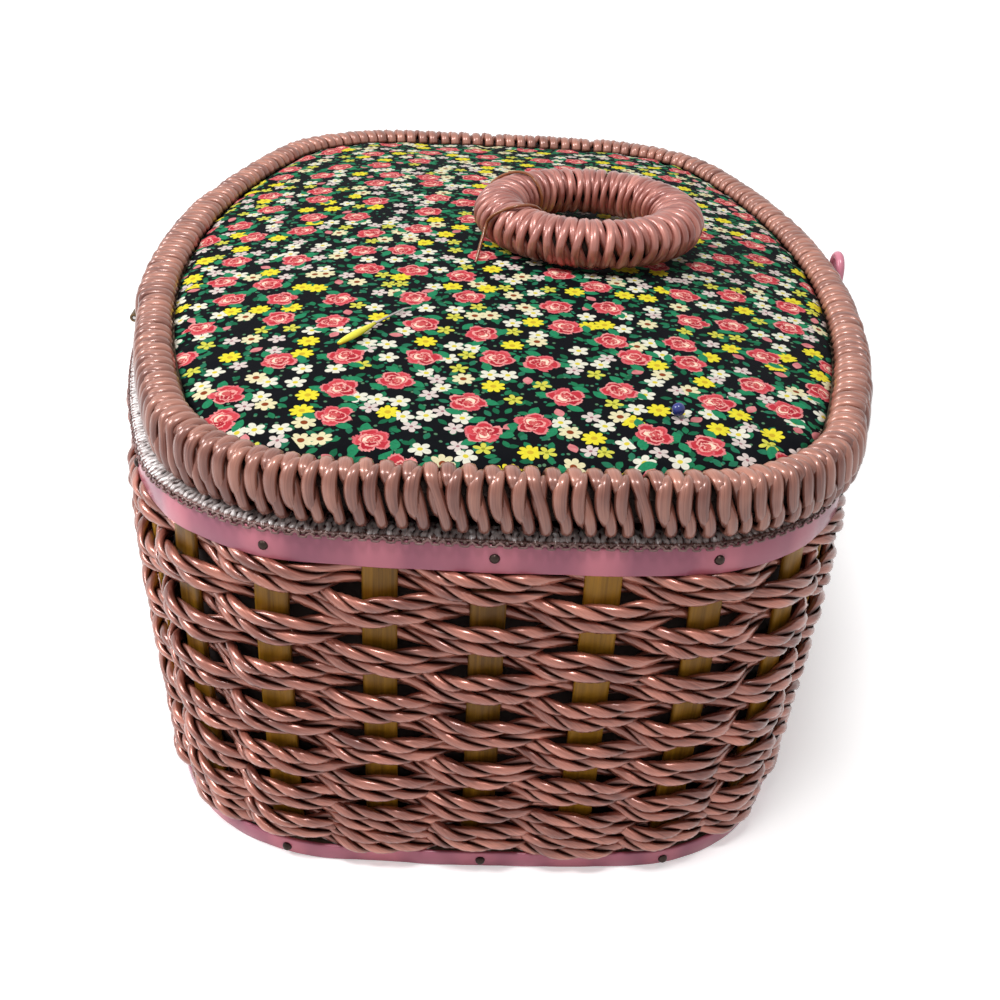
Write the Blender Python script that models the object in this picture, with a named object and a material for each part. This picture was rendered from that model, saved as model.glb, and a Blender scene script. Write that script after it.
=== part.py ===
"""Woven sewing basket with a padded, hinged lid, a ring handle and a lift-out tray.

Units are metres and +Z is up. The long sides run along X, the front with the
latch faces -Y and the hinges are at +Y. The origin is the middle of the underside.
"""
import math

import bmesh
import bpy
import numpy as np
from mathutils import Vector

# Outline of the body, on the outer face of the top band
BODY_LENGTH = 0.318
BODY_WIDTH = 0.221
LONG_SIDE_RADIUS = 0.3655
SHORT_SIDE_RADIUS = 0.6275
CORNER_RADIUS = 0.055
LONG_SIDE_STEPS = 8
CORNER_STEPS = 6
SHORT_SIDE_STEPS = 2

# Gaps
SEAT_GAP = 0.0003
STAKE_GAP = 0.00075
RUNNING_GAP = 0.0004
CUT_OVERRUN = 0.001

# Shading, and the passes that find a place on the padded top
SMOOTH_UP_TO = math.radians(40)
PLACE_PASSES = 12

# Wall profile: how far the foot is drawn in, and where the profile bends
WALL_HEIGHT = 0.1044
BASE_DRAW = 0.004
DRAW_POWER = 2.8
LEVEL_SHARES = (0.0, 0.14, 0.38, 1.0)

# Plastic bands that hold the stakes, with their nails
BAND_THICKNESS = 0.0012
TOP_BAND_HEIGHT = 0.0079
BASE_BAND_HEIGHT = 0.0052
NAIL_RADIUS = 0.0014
NAIL_TIP_RADIUS = 0.0008
NAIL_HEIGHT = 0.0009
NAIL_SIDES = 5
NAILED_EVERY = 2

# Bamboo stakes
STAKE_COUNT = 34
STAKE_WIDTH = 0.0092
STAKE_THICKNESS = 0.0014
FOOT_HOOP_HEIGHT = 0.0035

# Woven rows; each row is a pair of twisted ropes that runs in front of one
# stake and behind the next. The rows are beaten closer together towards the
# foot: their levels rise by this power of their count
ROW_COUNT = 14
ROW_CROWDING = 1.2
ROW_THICKNESS = 0.0034
ROW_REACH = 0.0004

# Inside of the body
HOOP_THICKNESS = 0.0029
BASE_BOARD_THICKNESS = 0.003
LINING_THICKNESS = 0.002
BRAID_SETBACK = 0.0004
BRAID_WIDTH = 0.0072
BRAID_HEIGHT = 0.0013

# Lift-out tray and the ledge that it rests on
TRAY_HEIGHT = 0.024
TRAY_WALL = 0.0018
TRAY_SIDE_GAP = 0.002
TRAY_HEADROOM = 0.0103
TRAY_ROW_WALL_Y = 0.018
TRAY_POCKET_X = 0.045
LEDGE_WIDTH = 0.005
LEDGE_HEIGHT = 0.0037

# Lid
LID_OVERHANG = 0.00145
LID_SHIFT_Y = -0.0031
RIM_WIDTH = 0.0112
RIM_LIP = 0.0087
RIM_HEIGHT = 0.016
RIM_CORD = 0.003
RIM_CREST_SHARE = 0.62
RIM_EASE = 0.0024
RIM_LIP_DROP = 0.001
RIM_TOP_EASE = 0.0008
ROD_RADIUS = 0.0019
ROD_SIDES = 4
LID_BOARD_THICKNESS = 0.003
LID_LINING_THICKNESS = 0.0006
COVER_THICKNESS = 0.0008
COVER_EDGE_DROP = 0.0033
DOME_CROWN = 0.008
DOME_POWER = 2.2
DOME_SHARES = (1.0, 0.92, 0.74, 0.46, 0.16)
PAD_SHARES = (1.0, 0.74, 0.16)

# Ring handle, tied to the lid with two nylon threads
RING_DIAMETER = 0.0752
RING_SECTION_WIDTH = 0.0174
RING_SECTION_HEIGHT = 0.0154
RING_CENTRE_Y = -0.0301
WRAP_LOOPS = 24
WRAP_POINTS = 8
WRAP_CORD = 0.005
CORE_STEPS = 28
CORE_SIDES = 6
CORE_CLEARANCE = 0.0009
TIE_ANGLE = math.radians(42)
TIE_RADIUS = 0.0004
TIE_STEPS = 7
TIE_DIP = math.radians(25)
HANDLE_AXIS_RISE = 0.0012

# Hinges
HINGE_SPREAD = 0.054
HINGE_WIDTH = 0.012
HINGE_PLATE = 0.001
HINGE_BARREL_RADIUS = 0.0014
HINGE_PIN_RADIUS = 0.0005
HINGE_AXIS_OUT = 0.0009
HINGE_AXIS_RISE = 0.0014
BODY_LEAF_DROP = 0.0068
LID_LEAF_HEIGHT = 0.0075
KNUCKLES = 3
ROUND_SIDES = 12

# Latch
BAIL_WIRE = 0.0024
BAIL_INNER_WIDTH = 0.007
BAIL_LENGTH = 0.012
BAIL_ARC_STEPS = 6
BAIL_STANDOFF = 0.0004
BAIL_STUB = 0.0026
EAR_THICKNESS = 0.0024
EAR_WALL = 0.0011
BRACKET_PLATE = 0.001
BRACKET_HEIGHT = 0.0064
BRACKET_RISE = 0.0003
KNOB_FLANGE_RADIUS = 0.0032
KNOB_FLANGE = 0.0008
KNOB_STEM_RADIUS = 0.0014
KNOB_HEAD_RADIUS = 0.0025
KNOB_HEAD = 0.0018
KNOB_EASE = 0.0005
KNOB_DROP = 0.0032

# Pins left in the padded lid, placed in shares of the body's half length and width
FLAT_PIN_PLACE_SHARES = (-0.428, 0.238)
FLAT_PIN_TURN = math.radians(148.3)
FLAT_PIN_RISE = math.radians(-1)
FLAT_PIN_SHAFT = 0.0128
FLAT_PIN_SHAFT_RADIUS = 0.0004
FLAT_PIN_HEAD = 0.0167
FLAT_PIN_NECK_RADIUS = 0.0006
FLAT_PIN_HEAD_RADIUS = 0.0013
FLAT_PIN_WIDEST_SHARE = 0.7
BALL_PIN_PLACE_SHARES = (-0.77, -0.41)
BALL_PIN_RADIUS = 0.0019

# Levels and insets worked out from the sizes above; insets are measured
# inwards from the outer face of the top band
LEVELS = [share * WALL_HEIGHT for share in LEVEL_SHARES]
STAKE_INSET = BAND_THICKNESS + STAKE_GAP + STAKE_THICKNESS / 2
ROW_OFFSET = STAKE_THICKNESS / 2 + SEAT_GAP + ROW_THICKNESS / 2
LINING_INSET = STAKE_INSET + ROW_OFFSET + ROW_THICKNESS / 2 + RUNNING_GAP
INSIDE_INSET = LINING_INSET + LINING_THICKNESS
HOOP_INSET = STAKE_INSET + STAKE_THICKNESS / 2 + SEAT_GAP
TOP_BAND_BASE = WALL_HEIGHT - TOP_BAND_HEIGHT
ROWS_BASE = BASE_BAND_HEIGHT + SEAT_GAP
ROWS_HEIGHT = TOP_BAND_BASE - ROWS_BASE
STAKE_TOP = WALL_HEIGHT - SEAT_GAP
LINING_TOP = WALL_HEIGHT - SEAT_GAP
FLOOR_BASE = BASE_BOARD_THICKNESS + SEAT_GAP
FLOOR_TOP = FLOOR_BASE + LINING_THICKNESS
BRAID_BASE = WALL_HEIGHT + SEAT_GAP
BRAID_TOP = BRAID_BASE + BRAID_HEIGHT
RIM_BASE = BRAID_TOP + SEAT_GAP
RIM_TOP = RIM_BASE + RIM_HEIGHT
LIP_TOP = RIM_BASE + RIM_CORD
BOARD_BASE = LIP_TOP + SEAT_GAP
BOARD_TOP = BOARD_BASE + LID_BOARD_THICKNESS
LID_LINING_BASE = BOARD_BASE - SEAT_GAP - LID_LINING_THICKNESS
COVER_BASE = BOARD_TOP + SEAT_GAP
COVER_EDGE = RIM_TOP - COVER_EDGE_DROP
TRAY_TOP = LID_LINING_BASE - TRAY_HEADROOM
TRAY_BASE = TRAY_TOP - TRAY_HEIGHT
TRAY_INSET = INSIDE_INSET + TRAY_SIDE_GAP
LEDGE_TOP = TRAY_BASE - SEAT_GAP
LEDGE_BASE = LEDGE_TOP - LEDGE_HEIGHT


def remove_everything():
    """Start from an empty scene."""
    for item in list(bpy.data.objects):
        bpy.data.objects.remove(item, do_unlink=True)


# Outline made of two pairs of side arcs and four corner arcs

def corner_centre():
    """Centre of the corner arc that meets both side arcs without a kink."""
    long_centre = Vector((0, BODY_WIDTH / 2 - LONG_SIDE_RADIUS))
    short_centre = Vector((BODY_LENGTH / 2 - SHORT_SIDE_RADIUS, 0))
    long_reach = LONG_SIDE_RADIUS - CORNER_RADIUS
    short_reach = SHORT_SIDE_RADIUS - CORNER_RADIUS
    between = short_centre - long_centre
    span = between.length
    along = (long_reach ** 2 - short_reach ** 2 + span ** 2) / (2 * span)
    across = math.sqrt(long_reach ** 2 - along ** 2)
    unit = between / span
    return long_centre + along * unit + across * Vector((unit.y, -unit.x))


CORNER_CENTRE = corner_centre()
LONG_CENTRE = Vector((0, BODY_WIDTH / 2 - LONG_SIDE_RADIUS))
SHORT_CENTRE = Vector((BODY_LENGTH / 2 - SHORT_SIDE_RADIUS, 0))
LONG_JOIN = math.atan2(CORNER_CENTRE.y - LONG_CENTRE.y, CORNER_CENTRE.x - LONG_CENTRE.x)
SHORT_JOIN = math.atan2(CORNER_CENTRE.y - SHORT_CENTRE.y, CORNER_CENTRE.x - SHORT_CENTRE.x)


def facing(angle):
    """Unit vector in the ground plane at this angle."""
    return Vector((math.cos(angle), math.sin(angle), 0))


def outline_point(angle, inset, z=0):
    """Point of the outline whose outward normal lies at this angle."""
    cosine = math.cos(angle)
    sine = math.sin(angle)
    folded = math.atan2(abs(sine), abs(cosine))
    if folded > LONG_JOIN:
        centre, radius = LONG_CENTRE, LONG_SIDE_RADIUS
    elif folded < SHORT_JOIN:
        centre, radius = SHORT_CENTRE, SHORT_SIDE_RADIUS
    else:
        centre, radius = CORNER_CENTRE, CORNER_RADIUS
    x = centre.x + (radius - inset) * abs(cosine)
    y = centre.y + (radius - inset) * abs(sine)
    return Vector((math.copysign(x, cosine), math.copysign(y, sine), z))


def quarter_angles():
    """Normal angles of one quarter of the outline, from the end to the side."""
    short = np.linspace(0, SHORT_JOIN, SHORT_SIDE_STEPS // 2 + 1)
    corner = np.linspace(SHORT_JOIN, LONG_JOIN, CORNER_STEPS + 1)[1:]
    long = np.linspace(LONG_JOIN, math.pi / 2, LONG_SIDE_STEPS // 2 + 1)[1:]
    return [float(angle) for angle in np.concatenate((short, corner, long))]


def ring_angles():
    """Normal angles all the way round, without repeats."""
    quarter = quarter_angles()
    half = quarter + [math.pi - angle for angle in reversed(quarter[:-1])]
    return half + [2 * math.pi - angle for angle in reversed(half[1:-1])]


RING_ANGLES = ring_angles()


def faceted_point(angle, inset, z):
    """Point of the faceted outline that is nearest to the smooth one at this angle."""
    place = outline_point(angle, inset, z)
    i = int(np.searchsorted(RING_ANGLES, angle, side="right")) - 1
    start = outline_point(RING_ANGLES[i], inset, z)
    side = outline_point(RING_ANGLES[(i + 1) % len(RING_ANGLES)], inset, z) - start
    return start + side * ((place - start).dot(side) / side.length_squared)


def angle_at(share, inset):
    """Normal angle at this share of the outline's length, from the +X end."""
    arcs = [(0, SHORT_JOIN, SHORT_SIDE_RADIUS), (SHORT_JOIN, LONG_JOIN, CORNER_RADIUS),
            (LONG_JOIN, math.pi / 2, LONG_SIDE_RADIUS)]
    mirrored = [(math.pi - end, math.pi - start, radius) for start, end, radius in reversed(arcs)]
    half = arcs + mirrored
    turned = [(start + math.pi, end + math.pi, radius) for start, end, radius in half]
    lengths = [(end - start) * (radius - inset) for start, end, radius in half + turned]
    left = share * sum(lengths)
    for (start, _, radius), length in zip(half + turned, lengths):
        if left <= length:
            return start + left / (radius - inset)
        left -= length
    return 2 * math.pi


def side_y(x, inset):
    """Half width of the outline at this x, which lies on a long side."""
    radius = LONG_SIDE_RADIUS - inset
    return LONG_CENTRE.y + math.sqrt(radius ** 2 - x ** 2)


def draw_at(z):
    """How far the wall is drawn in at this height."""
    draws = [BASE_DRAW * (1 - share) ** DRAW_POWER for share in LEVEL_SHARES]
    return float(np.interp(z, LEVELS, draws))


# Meshes

def add_loft(mesh, loops, closed=False):
    """Skin a list of point loops; an open run gets a cap at each end."""
    rows = [[mesh.verts.new(point) for point in loop] for loop in loops]
    pairs = list(zip(rows, rows[1:]))
    if closed:
        pairs.append((rows[-1], rows[0]))
    for first, second in pairs:
        for i, corner in enumerate(first):
            following = (i + 1) % len(first)
            mesh.faces.new((corner, first[following], second[following], second[i]))
    if not closed:
        mesh.faces.new(list(reversed(rows[0])))
        mesh.faces.new(rows[-1])


def add_ring(mesh, section, shift_y=0):
    """Sweep a section of (inset, z) points round the whole outline."""
    shift = Vector((0, shift_y, 0))
    loops = [[outline_point(angle, inset, z) + shift for inset, z in section] for angle in RING_ANGLES]
    add_loft(mesh, loops, closed=True)


def add_stack(mesh, section, shift_y=0):
    """Fill a run of outline loops, given as (inset, z), with a cap at each end."""
    shift = Vector((0, shift_y, 0))
    loops = [[outline_point(angle, inset, z) + shift for angle in RING_ANGLES] for inset, z in section]
    add_loft(mesh, loops)


def add_box(mesh, low, high):
    """Box between two corners."""
    plan = [(low[0], low[1]), (high[0], low[1]), (high[0], high[1]), (low[0], high[1])]
    add_loft(mesh, [[(x, y, z) for x, y in plan] for z in (low[2], high[2])])


def add_turned(mesh, start, direction, profile, sides=ROUND_SIDES):
    """Turned piece: (distance along, radius) pairs about a line from start."""
    along = Vector(direction).normalized()
    helper = Vector((0, 0, 1)) if abs(along.z) < abs(along.x) + abs(along.y) else Vector((1, 0, 0))
    across = along.cross(helper).normalized()
    upward = across.cross(along)
    loops = []
    for distance, radius in profile:
        centre = Vector(start) + along * distance
        turn = [2 * math.pi * i / sides for i in range(sides)]
        loops.append([centre + radius * (math.cos(a) * across + math.sin(a) * upward) for a in turn])
    add_loft(mesh, loops)


def make_material(name, colour, roughness, metallic=0.0):
    """Principled material in a plain colour."""
    material = bpy.data.materials.new(name)
    material.use_nodes = True
    shader = material.node_tree.nodes["Principled BSDF"]
    shader.inputs["Base Color"].default_value = (*colour, 1.0)
    shader.inputs["Roughness"].default_value = roughness
    shader.inputs["Metallic"].default_value = metallic
    material.diffuse_color = (*colour, 1.0)
    return material


def make_object(name, mesh, material, carrier=None, smooth=True):
    """Finish a bmesh as an object; its origin is its carrier's, on the joint axis."""
    bmesh.ops.recalc_face_normals(mesh, faces=mesh.faces)
    origin = carrier.location if carrier else Vector()
    bmesh.ops.translate(mesh, verts=mesh.verts, vec=-origin)
    data = bpy.data.meshes.new(name)
    mesh.to_mesh(data)
    mesh.free()
    if smooth:
        data.shade_smooth()
        data.set_sharp_from_angle(angle=SMOOTH_UP_TO)
    data.materials.append(material)
    item = bpy.data.objects.new(name, data)
    bpy.context.collection.objects.link(item)
    item.parent = carrier
    return item


def make_tube(name, points, radius, material, carrier, resolution, cyclic=False):
    """Round cord or wire along points, as a curve with a bevel."""
    curve = bpy.data.curves.new(name, "CURVE")
    curve.dimensions = "3D"
    curve.bevel_depth = radius
    curve.bevel_resolution = resolution
    curve.use_fill_caps = True
    spline = curve.splines.new("POLY")
    spline.points.add(len(points) - 1)
    for target, point in zip(spline.points, points):
        target.co = (*(Vector(point) - carrier.location), 1.0)
    spline.use_cyclic_u = cyclic
    curve.materials.append(material)
    item = bpy.data.objects.new(name, curve)
    bpy.context.collection.objects.link(item)
    item.parent = carrier
    return item


def combine(item, tool, operation):
    """Boolean with a guide object, which stays out of the finished model."""
    tool.hide_render = True
    tool.display_type = "WIRE"
    modifier = item.modifiers.new(operation.lower(), "BOOLEAN")
    modifier.operation = operation
    modifier.solver = "EXACT"
    modifier.object = tool


def make_axis(name, place):
    """Empty that marks a joint's axis and carries what moves on it."""
    empty = bpy.data.objects.new(name, None)
    empty.location = place
    bpy.context.collection.objects.link(empty)
    return empty


# Body

def stake_angle(i):
    """Normal angle at which stake i stands."""
    return angle_at(i / STAKE_COUNT, STAKE_INSET)


def beside_stake(angle, outwards, along, z):
    """Point placed from a stake's middle: outwards, along the wall and up."""
    normal = facing(angle)
    tangent = Vector((-normal.y, normal.x, 0))
    return outline_point(angle, STAKE_INSET + draw_at(z), z) + outwards * normal + along * tangent


def make_stakes(material):
    """Upright bamboo strips from the foot to the rim, joined by a hoop at the foot."""
    hoop_heights = [SEAT_GAP, FOOT_HOOP_HEIGHT]
    outer = STAKE_INSET - STAKE_THICKNESS / 2
    stakes = make_wall_ring("stakes", outer, outer + STAKE_THICKNESS, hoop_heights, material)
    mesh = bmesh.new()
    heights = [SEAT_GAP] + LEVELS[1:-1] + [STAKE_TOP]
    half = STAKE_THICKNESS / 2
    side = STAKE_WIDTH / 2
    for i in range(STAKE_COUNT):
        angle = stake_angle(i)
        corners = [(-half, -side), (half, -side), (half, side), (-half, side)]
        add_loft(mesh, [[beside_stake(angle, out, along, z) for out, along in corners] for z in heights])
    combine(stakes, make_object("stake_strips", mesh, material, smooth=False), "UNION")


def row_base(k):
    """Level where the woven row of this count starts."""
    return ROWS_BASE + ROWS_HEIGHT * (k / ROW_COUNT) ** ROW_CROWDING


def make_row(k, material):
    """One woven row, in front of every other stake and behind the rest."""
    mesh = bmesh.new()
    low = row_base(k)
    high = row_base(k + 1) - SEAT_GAP
    half = ROW_THICKNESS / 2
    reach = STAKE_WIDTH / 2 + ROW_REACH
    loops = []
    for i in range(STAKE_COUNT):
        angle = stake_angle(i)
        middle = ROW_OFFSET if (i + k) % 2 == 0 else -ROW_OFFSET
        section = [(middle - half, low), (middle + half, (low + high) / 2), (middle - half, high)]
        for along in (-reach, reach):
            loops.append([beside_stake(angle, out, along, z) for out, z in section])
    add_loft(mesh, loops, closed=True)
    make_object(f"weaver_row_{k + 1:02d}", mesh, material)


def wall_section(outer, inner, heights):
    """Section that follows the wall's profile between two insets."""
    out = [(outer + draw_at(z), z) for z in heights]
    back = [(inner + draw_at(z), z) for z in reversed(heights)]
    return out + back


def make_wall_ring(name, outer, inner, heights, material):
    """Closed ring that follows the wall."""
    mesh = bmesh.new()
    add_ring(mesh, wall_section(outer, inner, heights))
    return make_object(name, mesh, material)


def make_top_band(material):
    """Plastic band with the domed heads of its nails, one at every other stake."""
    band = make_wall_ring("top_band", 0, BAND_THICKNESS, [TOP_BAND_BASE, WALL_HEIGHT], material)
    mesh = bmesh.new()
    root = BAND_THICKNESS / 2
    profile = [(0, NAIL_RADIUS), (root + NAIL_HEIGHT, NAIL_TIP_RADIUS)]
    z = WALL_HEIGHT - TOP_BAND_HEIGHT / 2
    for i in range(1, STAKE_COUNT, NAILED_EVERY):
        angle = stake_angle(i)
        start = faceted_point(angle, draw_at(z) + root, z)
        add_turned(mesh, start, facing(angle), profile, NAIL_SIDES)
    combine(band, make_object("top_band_nails", mesh, material), "UNION")


def make_base_board(material):
    """Board inside the foot of the stakes; it is what the basket stands on."""
    mesh = bmesh.new()
    inset = STAKE_INSET + STAKE_THICKNESS / 2 + SEAT_GAP
    add_stack(mesh, [(inset + draw_at(z), z) for z in (0, BASE_BOARD_THICKNESS)])
    return make_object("base_board", mesh, material)


def make_lining(material):
    """Cloth-covered card lining, open at the top."""
    mesh = bmesh.new()
    rising = [FLOOR_BASE] + LEVELS[1:-1] + [LINING_TOP]
    falling = [LINING_TOP] + LEVELS[-2:0:-1] + [FLOOR_TOP]
    outside = [(LINING_INSET + draw_at(z), z) for z in rising]
    inside = [(INSIDE_INSET + draw_at(z), z) for z in falling]
    add_stack(mesh, outside + inside)
    return make_object("lining", mesh, material)


def make_tray_ledge(material):
    """Batten round the inside that the tray sits on."""
    mesh = bmesh.new()
    outer = INSIDE_INSET + draw_at(LEDGE_BASE) + SEAT_GAP
    inner = outer + LEDGE_WIDTH
    add_ring(mesh, [(outer, LEDGE_BASE), (outer, LEDGE_TOP), (inner, LEDGE_TOP), (inner, LEDGE_BASE)])
    return make_object("tray_ledge", mesh, material)


def make_body(materials):
    """Everything that stays with the body."""
    make_stakes(materials["bamboo"])
    for k in range(ROW_COUNT):
        make_row(k, materials["cord"])
    make_top_band(materials["band"])
    make_wall_ring("base_band", 0, BAND_THICKNESS, [0, BASE_BAND_HEIGHT], materials["band"])
    hoop_heights = [TOP_BAND_BASE, WALL_HEIGHT]
    make_wall_ring("inner_hoop", HOOP_INSET, HOOP_INSET + HOOP_THICKNESS, hoop_heights, materials["reed"])
    braid_heights = [BRAID_BASE, BRAID_TOP]
    make_wall_ring("rim_braid", BRAID_SETBACK, BRAID_SETBACK + BRAID_WIDTH, braid_heights, materials["braid"])
    make_base_board(materials["board"])
    make_lining(materials["lining"])
    make_tray_ledge(materials["reed"])


# Tray

def make_tray(material, carrier):
    """Moulded tray with one long pocket and three short ones."""
    mesh = bmesh.new()
    inside = TRAY_INSET + TRAY_WALL
    add_stack(mesh, [(TRAY_INSET, TRAY_BASE), (TRAY_INSET, TRAY_TOP), (inside, TRAY_TOP),
                     (inside, TRAY_BASE + TRAY_WALL)])
    tray = make_object("tray", mesh, material, carrier, smooth=False)
    half = TRAY_WALL / 2
    end = BODY_LENGTH / 2 - TRAY_INSET - half
    front = BODY_WIDTH / 2 - TRAY_INSET - half
    low = TRAY_BASE + half
    high = TRAY_TOP - TRAY_WALL
    long_wall = bmesh.new()
    add_box(long_wall, (-end, TRAY_ROW_WALL_Y - half, low), (end, TRAY_ROW_WALL_Y + half, high))
    combine(tray, make_object("tray_long_wall", long_wall, material, carrier, smooth=False), "UNION")
    for name, x in (("tray_left_wall", -TRAY_POCKET_X), ("tray_right_wall", TRAY_POCKET_X)):
        wall = bmesh.new()
        reach = side_y(x, TRAY_INSET + half)
        add_box(wall, (x - half, -min(reach, front), low), (x + half, TRAY_ROW_WALL_Y, high))
        combine(tray, make_object(name, wall, material, carrier, smooth=False), "UNION")
    return tray


# Lid

def rim_point(u, v):
    """Inset and height of a point u in from the rim's outside and v above its base."""
    return (u - LID_OVERHANG, RIM_BASE + v)


def make_lid_rim(material, carrier):
    """Lashed rim: a shell round two rods, open on its inner side."""
    mesh = bmesh.new()
    crest = RIM_WIDTH * RIM_CREST_SHARE
    cord = RIM_CORD
    section = [
        rim_point(RIM_EASE, 0), rim_point(RIM_LIP, 0), rim_point(RIM_LIP, cord), rim_point(cord, cord),
        rim_point(cord, RIM_HEIGHT - cord), rim_point(RIM_WIDTH - cord / 2, RIM_HEIGHT - cord - RIM_LIP_DROP),
        rim_point(RIM_WIDTH, RIM_HEIGHT - cord), rim_point(crest, RIM_HEIGHT),
        rim_point(RIM_EASE, RIM_HEIGHT - RIM_TOP_EASE), rim_point(0, RIM_HEIGHT - 2 * RIM_EASE),
        rim_point(0, RIM_EASE)]
    add_ring(mesh, section, LID_SHIFT_Y)
    return make_object("lid_rim", mesh, material, carrier)


def make_lid_rods(material, carrier):
    """Upper and lower reed rods inside the rim's lashing."""
    across = RIM_CORD + SEAT_GAP + ROD_RADIUS
    upper = RIM_HEIGHT - RIM_CORD - RIM_LIP_DROP - SEAT_GAP - ROD_RADIUS
    turn = [2 * math.pi * i / ROD_SIDES for i in range(ROD_SIDES)]
    for name, height in (("lid_rod_lower", across), ("lid_rod_upper", upper)):
        mesh = bmesh.new()
        section = [rim_point(across + ROD_RADIUS * math.cos(a), height + ROD_RADIUS * math.sin(a)) for a in turn]
        add_ring(mesh, section, LID_SHIFT_Y)
        make_object(name, mesh, material, carrier)


def board_inset():
    """Inset of the lid board's edge, just clear of the rods."""
    return RIM_CORD + 2 * SEAT_GAP + 2 * ROD_RADIUS - LID_OVERHANG


def make_lid_board(material, carrier):
    """Stiff board that closes the lid and carries the padding."""
    mesh = bmesh.new()
    add_stack(mesh, [(board_inset(), BOARD_BASE), (board_inset(), BOARD_TOP)], LID_SHIFT_Y)
    return make_object("lid_board", mesh, material, carrier)


def make_lid_lining(material, carrier):
    """Cloth under the lid board, inside the rim's lower lip."""
    mesh = bmesh.new()
    inset = RIM_LIP + SEAT_GAP - LID_OVERHANG
    add_stack(mesh, [(inset, LID_LINING_BASE), (inset, BOARD_BASE - SEAT_GAP)], LID_SHIFT_Y)
    return make_object("lid_lining", mesh, material, carrier)


def dome_height(share):
    """Height of the padded top at this share of the way out from its middle."""
    return COVER_EDGE + DOME_CROWN * (1 - max(share, DOME_SHARES[-1]) ** DOME_POWER)


def dome_loops(inset, drop, shares=DOME_SHARES):
    """Loops of the padded top from its edge to its middle, lowered by drop."""
    loops = []
    for share in shares:
        loop = []
        for angle in RING_ANGLES:
            point = outline_point(angle, inset)
            loop.append(Vector((point.x * share, point.y * share + LID_SHIFT_Y, dome_height(share) - drop)))
        loops.append(loop)
    return loops


def edge_loop(inset, z):
    """Outline loop of the padded top's side."""
    shift = Vector((0, LID_SHIFT_Y, 0))
    return [outline_point(angle, inset, z) + shift for angle in RING_ANGLES]


def cover_inset():
    """Inset of the cover's side, just clear of the rim's lip."""
    return RIM_WIDTH + SEAT_GAP - LID_OVERHANG


def make_lid_cover(material, carrier):
    """Printed cloth drawn over the pad, as a thin domed shell."""
    mesh = bmesh.new()
    outer = cover_inset()
    inner = outer + COVER_THICKNESS
    outside = [edge_loop(outer, COVER_BASE)] + dome_loops(outer, 0)
    inside = list(reversed(dome_loops(inner, COVER_THICKNESS))) + [edge_loop(inner, COVER_BASE)]
    rows = [[mesh.verts.new(point) for point in loop] for loop in outside + inside]
    middle = len(outside)
    pairs = list(zip(rows[:middle], rows[1:middle])) + list(zip(rows[middle:], rows[middle + 1:]))
    pairs.append((rows[-1], rows[0]))
    for first, second in pairs:
        for i, corner in enumerate(first):
            following = (i + 1) % len(first)
            mesh.faces.new((corner, first[following], second[following], second[i]))
    mesh.faces.new(rows[middle - 1])
    mesh.faces.new(list(reversed(rows[middle])))
    return make_object("lid_cover", mesh, material, carrier)


def make_lid_pad(material, carrier):
    """Foam pad with a crown, drawn in at its edge."""
    mesh = bmesh.new()
    inset = cover_inset() + COVER_THICKNESS + SEAT_GAP
    dome = dome_loops(inset, COVER_THICKNESS + SEAT_GAP, PAD_SHARES)
    add_loft(mesh, [edge_loop(inset, COVER_BASE)] + dome)
    return make_object("lid_pad", mesh, material, carrier)


def padded_top_point(shares):
    """Point on the padded top at these shares of the body's half length and width."""
    x = shares[0] * BODY_LENGTH / 2
    y = shares[1] * BODY_WIDTH / 2
    angle = math.atan2(y - LID_SHIFT_Y, x)
    for _ in range(PLACE_PASSES):
        edge = outline_point(angle, cover_inset())
        bearing = math.atan2(edge.y, edge.x)
        angle += math.atan2(y - LID_SHIFT_Y, x) - bearing
    share = math.hypot(x, y - LID_SHIFT_Y) / edge.length
    return Vector((x, y, dome_height(share)))


def make_lid_pins(head_material, steel, ball_material, carrier):
    """Two sewing pins left in the lid; what is inside the pad is not modelled."""
    lean = Vector((math.cos(FLAT_PIN_TURN), math.sin(FLAT_PIN_TURN), math.tan(FLAT_PIN_RISE))).normalized()
    start = padded_top_point(FLAT_PIN_PLACE_SHARES) + Vector((0, 0, SEAT_GAP + FLAT_PIN_SHAFT_RADIUS))
    shaft = bmesh.new()
    add_turned(shaft, start, lean, [(0, FLAT_PIN_SHAFT_RADIUS), (FLAT_PIN_SHAFT, FLAT_PIN_SHAFT_RADIUS)], NAIL_SIDES)
    make_object("flat_pin_shaft", shaft, steel, carrier)
    head = bmesh.new()
    begin = FLAT_PIN_SHAFT + SEAT_GAP
    widest = begin + FLAT_PIN_HEAD * FLAT_PIN_WIDEST_SHARE
    profile = [(begin, FLAT_PIN_NECK_RADIUS), (widest, FLAT_PIN_HEAD_RADIUS),
               (begin + FLAT_PIN_HEAD, FLAT_PIN_NECK_RADIUS)]
    add_turned(head, start, lean, profile, NAIL_SIDES)
    make_object("flat_pin_head", head, head_material, carrier)
    ball = bmesh.new()
    bmesh.ops.create_icosphere(ball, subdivisions=1, radius=BALL_PIN_RADIUS)
    place = padded_top_point(BALL_PIN_PLACE_SHARES) + Vector((0, 0, SEAT_GAP + BALL_PIN_RADIUS))
    bmesh.ops.translate(ball, verts=ball.verts, vec=place)
    make_object("ball_pin_head", ball, ball_material, carrier)


# Ring handle

RING_MEAN_RADIUS = (RING_DIAMETER - RING_SECTION_WIDTH) / 2
RING_BASE_Z = dome_height(0) + SEAT_GAP
RING_CENTRE = Vector((0, RING_CENTRE_Y, RING_BASE_Z + RING_SECTION_HEIGHT / 2))


def ring_surface(turn, section_turn, half_width, half_height):
    """Point on an oval-section ring: turn goes round it, section_turn round its section."""
    radial = facing(turn)
    reach = RING_MEAN_RADIUS + half_width * math.cos(section_turn)
    return RING_CENTRE + reach * radial + Vector((0, 0, half_height * math.sin(section_turn)))


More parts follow.
